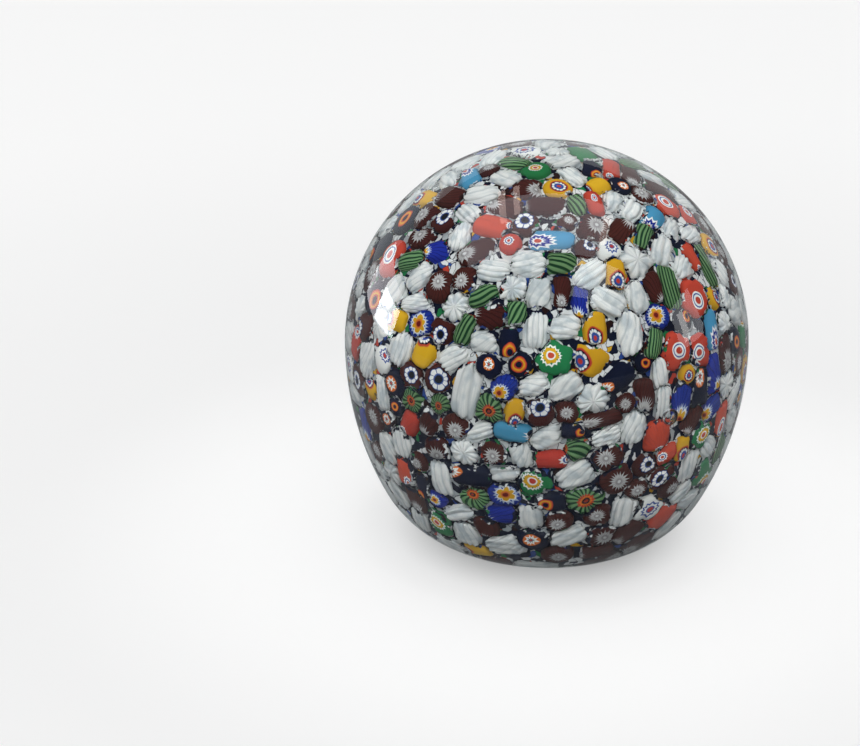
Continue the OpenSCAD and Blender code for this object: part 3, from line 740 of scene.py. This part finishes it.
def white_cane():
    cane = Cane("white_fluted_glass", WHITE, twist=0.9)
    ribs = math_node(cane.tree, "ADD", WHITE_RIBS, cane.times(cane.tint, MORE_RIBS))
    ribs = math_node(cane.tree, "FLOOR", ribs)
    rod = cane.rod(points=ribs, bend=0.0)
    cane.lay(MILK, cane.times(cane.step(rod["Streak"], 0.40, 0.65), 0.7))
    cane.lay(SMOKY, cane.times(cane.step(rod["Smoke"], 0.46, 0.66), 0.75))
    # Painted shade in the rib hollows, deeper in the hollows close to the neighbouring canes
    cane.lay(PAINTED_GROOVE_SHADE, cane.times(cane.inside(rod["Wave"], 0.26, 0.26), 0.45))
    edge_notch_shade = cane.times(cane.inside(rod["Wave"], 0.34, 0.22), cane.inside(cane.clear, 0.35, 0.30))
    cane.lay(PAINTED_NOTCH_SHADE, cane.times(edge_notch_shade, 0.7))
    cane.emboss(cane.step(rod["Wave"], 0.0, 0.9), 0.0001)
    return cane.done(0.20, 0.8)


def brown_cane():
    cane = Cane("amethyst_star_glass", BROWN, twist=0.3)
    rib = cane.rod(points=20.0)
    cane.lay(DARK_BROWN, cane.times(cane.inside(rib["Wave"], 0.3, 0.3), 0.8))
    star = cane.rod(points=17.0, depth=0.26, fuzz=0.05, needle=0.7)
    mask = cane.inside(star["Toothed"], 0.66, 0.025)
    cane.lay(STAR_WHITE, mask)
    cane.lay(STAR_SHADE, cane.times(cane.times(mask, cane.inside(rib["Wave"], 0.35, 0.25)), 0.8))
    cane.lay(STAR_CENTRE, cane.times(cane.inside(star["Round"], 0.22, 0.08), 0.7))
    cane.lay(STAR_HEART, cane.inside(star["Round"], 0.10, 0.04))
    return cane.done()


def ring_cane():
    cane = Cane("brown_petal_glass", BROWN, twist=0.2)
    petals = cane.rod(points=9.0, depth=-0.07, fuzz=0.03)
    cane.lay(NAVY, cane.inside(petals["Toothed"], 0.57, 0.02))
    cane.lay(BLUE, cane.inside(petals["Toothed"], 0.53, 0.02))
    between_petals = cane.step(petals["Wave"], 0.12, 0.26)
    cane.lay(WHITE, cane.times(cane.inside(petals["Toothed"], 0.49, 0.02), between_petals))
    cane.lay(BLUE, cane.inside(petals["Round"], 0.31, 0.03))
    cane.lay(DARK, cane.inside(petals["Round"], 0.24, 0.03))
    return cane.done()


def target_cane():
    cane = Cane("red_target_glass", RED)
    rings = cane.rod(fuzz=0.02, bend=0.3)
    for edge, colour in ((0.48, WHITE), (0.39, BLUE), (0.32, WHITE), (0.20, RED)):
        cane.lay(colour, cane.inside(rings["Round"], edge, 0.015))
    return cane.done()


def flower_cane():
    cane = Cane("green_flower_glass", GREEN)
    petals = cane.rod(points=16.0, depth=0.09, fuzz=0.03)
    heart = cane.rod(points=8.0, depth=-0.07, fuzz=0.03)
    cane.lay(WHITE, cane.inside(petals["Toothed"], 0.54, 0.02))
    cane.lay(GREEN, cane.inside(petals["Toothed"], 0.44, 0.02))
    cane.lay(YELLOW, cane.inside(heart["Toothed"], 0.33, 0.02))
    cane.lay(WHITE, cane.inside(heart["Round"], 0.23, 0.02))
    cane.lay(RED, cane.inside(heart["Round"], 0.16, 0.02))
    return cane.done()


def ribbed_cane():
    cane = Cane("green_ribbed_glass", DARK_GREEN, twist=0.5)
    ribs = cane.rod(points=16.0, depth=0.10, needle=0.8, bend=0.0)
    cane.lay(PALE_GREEN, cane.step(ribs["Wave"], 0.45, 0.85))
    heart = cane.rod(points=14.0, depth=0.10, needle=0.8)
    cane.lay(RED, cane.inside(heart["Toothed"], 0.42, 0.03))
    cane.lay(ORANGE, cane.inside(heart["Round"], 0.26, 0.03))
    cane.lay(DARK, cane.inside(heart["Round"], 0.17, 0.03))
    cane.lay(RED, cane.inside(heart["Round"], 0.08, 0.03))
    cane.emboss(cane.step(ribs["Wave"], 0.0, 0.9), 0.0002)
    return cane.done()


def yellow_cane():
    cane = Cane("yellow_flower_glass", YELLOW)
    petals = cane.rod(points=10.0, depth=-0.06, fuzz=0.04)
    cane.lay(RED, cane.inside(petals["Round"], 0.64, 0.04))
    cane.lay(NAVY, cane.inside(petals["Round"], 0.55, 0.02))
    between_petals = cane.step(petals["Wave"], 0.10, 0.25)
    cane.lay(WHITE, cane.times(cane.inside(petals["Toothed"], 0.43, 0.03), between_petals))
    cane.lay(BLUE, cane.inside(petals["Round"], 0.33, 0.03))
    cane.lay(RED, cane.inside(petals["Round"], 0.15, 0.04))
    return cane.done(0.2)


def light_blue_cane():
    cane = Cane("light_blue_glass", LIGHT_BLUE)
    petals = cane.rod(points=12.0, depth=0.14, fuzz=0.04)
    cane.lay(WHITE, cane.inside(petals["Toothed"], 0.68, 0.03))
    cane.lay(COBALT, cane.inside(petals["Toothed"], 0.56, 0.03))
    cane.lay(WHITE, cane.inside(petals["Toothed"], 0.36, 0.03))
    cane.lay(RED, cane.inside(petals["Round"], 0.16, 0.03))
    return cane.done()


def cobalt_cane():
    cane = Cane("cobalt_flower_glass", COBALT, twist=0.2)
    teeth = cane.rod(points=18.0, depth=0.16, fuzz=0.04, needle=0.8)
    petals = cane.rod(points=6.0, depth=-0.16, fuzz=0.04)
    cane.lay(DEEP_COBALT, cane.times(cane.inside(teeth["Wave"], 0.3, 0.3), 0.8))
    cane.lay(PALE_BLUE, cane.inside(teeth["Toothed"], 0.70, 0.03))
    cane.lay(COBALT, cane.inside(teeth["Toothed"], 0.56, 0.03))
    cane.lay(WHITE, cane.inside(petals["Toothed"], 0.38, 0.02))
    cane.lay(YELLOW, cane.inside(petals["Toothed"], 0.32, 0.02))
    cane.lay(ORANGE, cane.inside(petals["Round"], 0.24, 0.03))
    cane.lay(OXBLOOD, cane.inside(petals["Round"], 0.15, 0.03))
    return cane.done()


def bullseye_cane():
    cane = Cane("navy_bullseye_glass", NAVY)
    rings = cane.rod(fuzz=0.04, bend=0.35)
    for edge, colour in ((0.50, RED), (0.44, ORANGE), (0.37, YELLOW), (0.29, RED), (0.20, NAVY)):
        cane.lay(colour, cane.inside(rings["Round"], edge, 0.025))
    return cane.done()


def navy_cane():
    cane = Cane("navy_star_glass", NAVY)
    star = cane.rod(points=9.0, depth=0.18, fuzz=0.04, needle=0.8)
    cane.lay(ORANGE, cane.inside(star["Round"], 0.48, 0.03))
    cane.lay(WHITE, cane.inside(star["Toothed"], 0.46, 0.03))
    cane.lay(NAVY, cane.inside(star["Toothed"], 0.28, 0.03))
    cane.lay(RED, cane.inside(star["Round"], 0.08, 0.03))
    return cane.done()


def daisy_cane():
    cane = Cane("white_daisy_glass", WHITE)
    petals = cane.rod(points=10.0, depth=0.14, fuzz=0.04)
    cane.lay(BLUE, cane.inside(petals["Toothed"], 0.62, 0.03))
    cane.lay(WHITE, cane.inside(petals["Toothed"], 0.48, 0.03))
    cane.lay(BLUE, cane.inside(petals["Round"], 0.24, 0.03))
    cane.lay(RED, cane.inside(petals["Round"], 0.16, 0.03))
    return cane.done(0.2)


def red_cane():
    cane = Cane("coral_red_glass", RED)
    rod = cane.rod(points=12.0, depth=0.08, fuzz=0.04)
    cane.lay(DEEP_RED, cane.step(rod["Streak"], 0.45, 0.7))
    cane.lay(WHITE, cane.inside(rod["Toothed"], 0.44, 0.02))
    cane.lay(BLUE, cane.inside(rod["Round"], 0.30, 0.02))
    cane.lay(WHITE, cane.inside(rod["Round"], 0.22, 0.02))
    cane.lay(RED, cane.inside(rod["Round"], 0.14, 0.02))
    return cane.done()


# Material, points around and along, squareness, ribs (0: as the white glass), rib depth, twist,
# and whether its patterns are cut on the slant
LOOKS = {
    "white": (white_cane, 60, 9, 0.52, 0.0, 0.17, 0.9, False),
    "brown": (brown_cane, 40, 9, 0.45, 20.0, 0.03, 0.3, True),
    "ring": (ring_cane, 32, 9, 0.42, 16.0, 0.01, 0.2, True),
    "target": (target_cane, 32, 9, 0.45, 8.0, 0.0, 0.0, True),
    "flower": (flower_cane, 32, 9, 0.45, 8.0, 0.0, 0.0, True),
    "ribbed": (ribbed_cane, 48, 9, 0.50, 16.0, 0.07, 0.5, False),
    "yellow": (yellow_cane, 32, 9, 0.42, 8.0, 0.0, 0.0, True),
    "light_blue": (light_blue_cane, 32, 9, 0.42, 8.0, 0.0, 0.0, True),
    "cobalt": (cobalt_cane, 36, 9, 0.45, 18.0, 0.05, 0.2, True),
    "bullseye": (bullseye_cane, 32, 9, 0.45, 8.0, 0.0, 0.0, True),
    "navy": (navy_cane, 32, 9, 0.42, 8.0, 0.0, 0.0, True),
    "daisy": (daisy_cane, 32, 9, 0.45, 8.0, 0.0, 0.0, True),
    "red": (red_cane, 32, 9, 0.50, 8.0, 0.0, 0.0, True),
}

for kind, (make, around, along, squareness, ribs, rib_depth, twist, on_slant) in LOOKS.items():
    rows = canes[kind]
    glass = make()
    numbers = np.arange(len(rows)) + first_cane[kind]
    upper = rows[:, 2] >= (WAIST_HEIGHT if kind == "white" else -1.0)
    for label, chosen in (("upper", upper), ("lower", ~upper)):
        if not chosen.any():
            continue
        name = f"{kind}_canes" if kind != "white" else f"white_canes_{label}"
        piece = rods(name, rows[chosen], numbers[chosen], glass, around, along, squareness)
        press(piece, ribs, rib_depth, twist, on_slant)
        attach(piece, "root")
        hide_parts(*KINDS[kind][2])


# ---------------------------------------------------------------- the dome and the core

def dome_profile(inset, base, stop):
    """Points up the body's side from the base's edge to the crown, at an inset from its surface."""
    points = [(stop, base)]
    foot = np.linspace(math.acos(max(-1.0, (base - FOOT_RADIUS) / (FOOT_RADIUS - inset))), SIDE_END, 22)
    points += [(FOOT_CENTRE + (FOOT_RADIUS - inset) * math.sin(a),
                FOOT_RADIUS + (FOOT_RADIUS - inset) * math.cos(a)) for a in foot]
    side = np.linspace(SIDE_END, math.pi / 2, 18)[1:]
    points += [(SIDE_CENTRE + (SIDE_RADIUS - inset) * math.sin(a),
                WAIST_HEIGHT + (SIDE_RADIUS - inset) * math.cos(a)) for a in side]
    crown = np.linspace(math.pi / 2, 0, 44)[1:]
    points += [((CROWN_RADIUS - inset) * math.sin(a), WAIST_HEIGHT + (CROWN_RADIUS - inset) * math.cos(a))
               for a in crown]
    return points


def turn_tree():
    """Geometry nodes: an upright outline turned round the Z axis into a closed body."""
    tree = bpy.data.node_groups.new("turned_body", "GeometryNodeTree")
    ids = {
        "Geometry": shape_input(tree, "Geometry", "NodeSocketGeometry", None),
        "Around": shape_input(tree, "Around", "NodeSocketInt", 192),
        "Glass": shape_input(tree, "Glass", "NodeSocketMaterial", None),
    }
    tree.interface.new_socket(name="Geometry", in_out="OUTPUT", socket_type="NodeSocketGeometry")
    given = tree.nodes.new("NodeGroupInput").outputs
    circle = tree.nodes.new("GeometryNodeCurvePrimitiveCircle")
    plug(tree, given["Around"], circle.inputs["Resolution"])
    circle.inputs["Radius"].default_value = 1.0
    outline = tree.nodes.new("GeometryNodeMeshToCurve")
    plug(tree, given["Geometry"], outline.inputs["Mesh"])
    sweep = tree.nodes.new("GeometryNodeCurveToMesh")
    mark = tree.nodes.new("GeometryNodeStoreNamedAttribute")
    mark.data_type = "FLOAT_VECTOR"
    mark.domain = "POINT"
    mark.inputs["Name"].default_value = "outline"
    plug(tree, outline.outputs["Curve"], mark.inputs["Geometry"])
    plug(tree, tree.nodes.new("GeometryNodeInputPosition").outputs[0], mark.inputs["Value"])
    around = tree.nodes.new("GeometryNodeStoreNamedAttribute")
    around.data_type = "FLOAT_VECTOR"
    around.domain = "POINT"
    around.inputs["Name"].default_value = "way"
    plug(tree, circle.outputs["Curve"], around.inputs["Geometry"])
    plug(tree, tree.nodes.new("GeometryNodeInputPosition").outputs[0], around.inputs["Value"])
    plug(tree, mark.outputs["Geometry"], sweep.inputs["Curve"])
    plug(tree, around.outputs["Geometry"], sweep.inputs["Profile Curve"])

    def named(name):
        node = tree.nodes.new("GeometryNodeInputNamedAttribute")
        node.data_type = "FLOAT_VECTOR"
        node.inputs["Name"].default_value = name
        return split(tree, node.outputs["Attribute"])

    ring, _, height = named("outline")
    east, north, _ = named("way")
    place = tree.nodes.new("GeometryNodeSetPosition")
    plug(tree, sweep.outputs["Mesh"], place.inputs["Geometry"])
    plug(tree, join(tree, math_node(tree, "MULTIPLY", ring, east),
                    math_node(tree, "MULTIPLY", ring, north), height), place.inputs["Position"])
    weld = tree.nodes.new("GeometryNodeMergeByDistance")
    weld.inputs["Distance"].default_value = 0.00001
    plug(tree, place.outputs["Geometry"], weld.inputs["Geometry"])
    paint = tree.nodes.new("GeometryNodeSetMaterial")
    plug(tree, weld.outputs["Geometry"], paint.inputs["Geometry"])
    plug(tree, given["Glass"], paint.inputs["Material"])
    plug(tree, paint.outputs["Geometry"], tree.nodes.new("NodeGroupOutput").inputs["Geometry"])
    return tree, ids


TURN, TURN_IDS = turn_tree()


def turned(name, outline, material, around=192):
    """A closed body turned from an outline, facing outwards."""
    mesh = bpy.data.meshes.new(name + "_outline")
    mesh.from_pydata([(r, 0.0, z) for r, z in outline], [(i, i + 1) for i in range(len(outline) - 1)], [])
    ob = built(name, mesh, TURN, TURN_IDS, {"Around": around, "Glass": material})
    point_outwards(ob)
    ob.data.shade_smooth()
    return ob


def point_outwards(ob):
    """Turns a closed mesh's faces to point away from its inside."""
    mesh = ob.data
    mesh.calc_loop_triangles()
    corners = np.empty(len(mesh.loop_triangles) * 3, np.int32)
    mesh.loop_triangles.foreach_get("vertices", corners)
    points = np.empty(len(mesh.vertices) * 3, np.float32)
    mesh.vertices.foreach_get("co", points)
    t = points.reshape(-1, 3)[corners.reshape(-1, 3)].astype(float)
    if np.einsum("ij,ij->", t[:, 0], np.cross(t[:, 1], t[:, 2])) < 0:
        mesh.flip_normals()


def clear_glass():
    """Polished crystal that lets lamps through to the canes."""
    material = bpy.data.materials.new("clear_crystal")
    material.use_nodes = True
    tree = material.node_tree
    tree.nodes.clear()
    glass = tree.nodes.new("ShaderNodeBsdfGlass")
    glass.inputs["Color"].default_value = (0.97, 0.985, 0.985, 1)
    glass.inputs["Roughness"].default_value = 0.0
    glass.inputs["IOR"].default_value = 1.5
    through = tree.nodes.new("ShaderNodeBsdfTransparent")
    through.inputs["Color"].default_value = (0.95, 0.97, 0.97, 1)
    light = tree.nodes.new("ShaderNodeLightPath")
    mix = tree.nodes.new("ShaderNodeMixShader")
    output = tree.nodes.new("ShaderNodeOutputMaterial")
    plug(tree, light.outputs["Is Shadow Ray"], mix.inputs[0])
    plug(tree, glass.outputs[0], mix.inputs[1])
    plug(tree, through.outputs[0], mix.inputs[2])
    plug(tree, mix.outputs[0], output.inputs["Surface"])
    return material


def chip_glass():
    """The chip-filled glass at the bottom of the seams."""
    material = bpy.data.materials.new("chip_filled_glass")
    material.use_nodes = True
    tree = material.node_tree
    shader = tree.nodes["Principled BSDF"]
    shader.inputs["Roughness"].default_value = 0.4
    shader.inputs["Specular IOR Level"].default_value = 0.02
    chips = tree.nodes.new("ShaderNodeGroup")
    chips.node_tree = CHIPS
    chips.inputs["Scale"].default_value = CORE_CRUMBS
    plug(tree, tree.nodes.new("ShaderNodeTexCoord").outputs["Object"], chips.inputs["Where"])
    plug(tree, chips.outputs["Colour"], shader.inputs["Base Color"])
    return material


def add_bubble(ob):
    """An air bubble inside the clear glass, its faces turned to its own middle, away from the glass."""
    shape = bmesh.new()
    shape.from_mesh(ob.data)
    ball = bmesh.ops.create_icosphere(shape, subdivisions=4, radius=bubble_radius,
                                      matrix=Matrix.Translation(bubble_middle))
    faces = {face for vert in ball["verts"] for face in vert.link_faces}
    bmesh.ops.reverse_faces(shape, faces=list(faces))
    for face in faces:
        face.smooth = True
    shape.to_mesh(ob.data)
    shape.free()


def roughen(ob, low, high, scale):
    """Raises and sinks a turned body's side in lumps, outwards along its own surface."""
    for vert in ob.data.vertices:
        if vert.co.z > 0.003:
            lump = noise.noise(vert.co * scale) * 0.6 + noise.noise(vert.co * scale * 2.3) * 0.4
            vert.co += vert.normal * (low + (high - low) * min(max(lump + 0.5, 0.0), 1.0))
    ob.data.update()


outline = [(0.0, 0.0)] + dome_profile(0.0, 0.0, FOOT_CENTRE)[1:]
dome = turned("clear_dome", outline, clear_glass(), 256)
add_bubble(dome)
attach(dome, "root")
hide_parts("glass_casing")

shoulder_height, shoulder_ring = CORE_SHOULDER
core_outline = [(0.0, CORE_BASE), (CORE_NECK, CORE_BASE), (CORE_NECK, shoulder_height)]
core_outline += dome_profile(CORE_INSET, CORE_INSET, shoulder_ring)
core = turned("inner_gather", core_outline, chip_glass(), 192)
roughen(core, 0.0, 0.0014, 210.0)
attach(core, "root")
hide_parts("glass_core")

# ---------------------------------------------------------------- floor, light and camera

def sheet(name, corners, faces, material):
    mesh = bpy.data.meshes.new(name)
    mesh.from_pydata(corners, [], faces)
    mesh.materials.append(material)
    ob = bpy.data.objects.new(name, mesh)
    bpy.context.scene.collection.objects.link(ob)
    return ob


def floor_with_painted_shadow():
    """A pale sheet with a painted glow, dimmer near the foot to paint a soft contact shadow and a little
    brighter in a ring round that shadow; it looks darker where glass mirrors it.
    """
    material = bpy.data.materials.new("pale_light_table")
    material.use_nodes = True
    tree = material.node_tree
    tree.nodes.clear()
    glow = tree.nodes.new("ShaderNodeEmission")
    away = tree.nodes.new("ShaderNodeTexCoord").outputs["Object"]
    away = vector_node(tree, "LENGTH", vector_node(tree, "MULTIPLY", away, (1, 1, 0)))

    def between(low, high, start, end):
        return ramp(tree, away, low, high, start, end, smooth=True)

    # Painted contact shadow: less glow near the foot, and a faint ring of extra glow round it that softens
    # the shadow's edge
    glow_with_painted_shadow = math_node(tree, "ADD", between(0.024, 0.040, 0.30, 0.56), between(0.14, 0.40, 0.0, 0.065))
    ring = math_node(tree, "MULTIPLY", between(0.034, 0.055, 0.0, 1.0), between(0.065, 0.14, 0.10, 0.0))
    plug(tree, math_node(tree, "ADD", glow_with_painted_shadow, ring), glow.inputs["Strength"])
    paper = tree.nodes.new("ShaderNodeBsdfDiffuse")
    paper.inputs["Color"].default_value = (0.36, 0.36, 0.36, 1)
    seen = tree.nodes.new("ShaderNodeAddShader")
    plug(tree, glow.outputs[0], seen.inputs[0])
    plug(tree, paper.outputs[0], seen.inputs[1])
    mirrored = tree.nodes.new("ShaderNodeBsdfDiffuse")
    mirrored.inputs["Color"].default_value = (0.34, 0.35, 0.36, 1)
    mix = tree.nodes.new("ShaderNodeMixShader")
    plug(tree, tree.nodes.new("ShaderNodeLightPath").outputs["Is Glossy Ray"], mix.inputs[0])
    plug(tree, seen.outputs[0], mix.inputs[1])
    plug(tree, mirrored.outputs[0], mix.inputs[2])
    plug(tree, mix.outputs[0], tree.nodes.new("ShaderNodeOutputMaterial").inputs["Surface"])
    return material


floor = sheet("floor", [(-3, -3, 0), (3, -3, 0), (3, 3, 0), (-3, 3, 0)], [(0, 1, 2, 3)], floor_with_painted_shadow())

world = bpy.data.worlds.new("pale_room")
bpy.context.scene.world = world
world.use_nodes = True
ROOM_DIM = 0.12
ROOM_THROUGH_GLASS = 0.55
ROOM_SEEN = 0.80
room = world.node_tree
room.nodes["Background"].inputs["Color"].default_value = (0.97, 0.99, 1.0, 1)
rays = room.nodes.new("ShaderNodeLightPath").outputs
straight_through = math_node(room, "MULTIPLY", rays["Is Transmission Ray"],
                             math_node(room, "LESS_THAN", rays["Diffuse Depth"], 0.5))
through_glass = math_node(room, "MULTIPLY", straight_through, ROOM_THROUGH_GLASS)
seen = math_node(room, "MULTIPLY", rays["Is Camera Ray"], ROOM_SEEN)
brightness = math_node(room, "ADD", ROOM_DIM, math_node(room, "ADD", through_glass, seen))
plug(room, brightness, room.nodes["Background"].inputs["Strength"])

MIDDLE = Vector((0.0, 0.0, WAIST_HEIGHT))


def lamp(name, place, width, height, radiance, colour=(1, 1, 1), facing=None, mirrored=True):
    """A soft lamp that is either mirrored in the glass or lights the canes; it faces the ball unless told."""
    data = bpy.data.lights.new(name, "AREA")
    data.shape = "RECTANGLE"
    data.size = width
    data.size_y = height
    data.energy = radiance * math.pi * width * height
    data.color = colour
    data.cycles.use_multiple_importance_sampling = mirrored
    ob = bpy.data.objects.new(name, data)
    bpy.context.scene.collection.objects.link(ob)
    ob.location = MIDDLE + Vector(place)
    ob.rotation_euler = Vector(facing or [-part for part in place]).to_track_quat("-Z", "Y").to_euler()
    ob.visible_camera = False
    ob.visible_diffuse = not mirrored
    ob.visible_glossy = mirrored
    ob.visible_transmission = False


DOWN = (0, 0, -1)
UP = (0, 0, 1)
ROOM = 2.5
lamp("ceiling", (0, 0, ROOM), 5.0, 5.0, 0.86, facing=DOWN, mirrored=False)
lamp("wall_front", (0, -ROOM, 1.2), 5.0, 2.5, 0.24, facing=(0, 1, 0), mirrored=False)
lamp("front_soft", (0, -1.9, 1.5), 2.4, 1.2, 2.1, mirrored=False)
lamp("wall_back", (0, ROOM, 1.2), 5.0, 2.5, 0.32, facing=(0, -1, 0), mirrored=False)
lamp("wall_left", (-ROOM, 0, 1.2), 5.0, 2.5, 0.42, facing=(1, 0, 0), mirrored=False)
lamp("wall_right", (ROOM, 0, 1.2), 5.0, 2.5, 0.32, facing=(-1, 0, 0), mirrored=False)
lamp("table_glow", (0, 0, 0.0005 - WAIST_HEIGHT), 0.8, 0.8, 0.07, facing=UP, mirrored=False)
lamp("left_window", (-0.97, 0.23, 0.065), 0.34, 0.20, 9.0, (0.92, 0.97, 1.0))
lamp("left_panel", (-0.93, 0.40, 0.10), 0.62, 0.34, 2.8, (1.0, 0.95, 1.0))
lamp("right_panel", (1.0, -0.03, 0.19), 0.36, 0.34, 1.9, (0.96, 0.97, 1.0))
lamp("right_slit", (0.98, -0.09, 0.17), 0.08, 0.22, 4.0, (1.0, 0.97, 0.94))
lamp("backdrop", (0, 1.7, 0.45), 4.4, 1.5, 0.6, (0.95, 0.98, 1.0), facing=(0, -1, 0))
lamp("overhead_left", (-0.36, 0.30, 1.0), 0.06, 0.50, 3.5, (1.0, 0.74, 0.66), facing=DOWN)
lamp("overhead_middle", (-0.24, 0.34, 1.0), 0.05, 0.44, 3.5, (1.0, 0.74, 0.66), facing=DOWN)
lamp("overhead_right", (0.48, 0.03, 1.0), 0.07, 0.36, 3.5, (1.0, 0.74, 0.66), facing=DOWN)
lamp("overhead_wide", (-0.22, 0.02, 1.05), 1.40, 0.75, 1.7, (1.0, 0.94, 1.0), facing=DOWN)
lamp("overhead_front", (0.50, -0.62, 0.95), 0.45, 0.55, 2.2, (0.94, 0.98, 1.0), facing=DOWN)

ELEVATION = math.radians(22)
DISTANCE = 0.572
AIM_LEFT = 0.0287
AIM_DOWN = 0.0086
camera_data = bpy.data.cameras.new("camera")
camera_data.lens = 96.1
camera_data.sensor_width = 36.0
camera_data.clip_start = 0.01
camera = bpy.data.objects.new("camera", camera_data)
bpy.context.scene.collection.objects.link(camera)
camera.location = MIDDLE + DISTANCE * Vector((0, -math.cos(ELEVATION), math.sin(ELEVATION)))
camera_up = Vector((0, math.sin(ELEVATION), math.cos(ELEVATION)))
aim = MIDDLE - AIM_LEFT * Vector((1, 0, 0)) - AIM_DOWN * camera_up
camera.rotation_euler = (aim - camera.location).to_track_quat("-Z", "Y").to_euler()
bpy.context.scene.camera = camera
bpy.context.scene.view_settings.view_transform = "Standard"
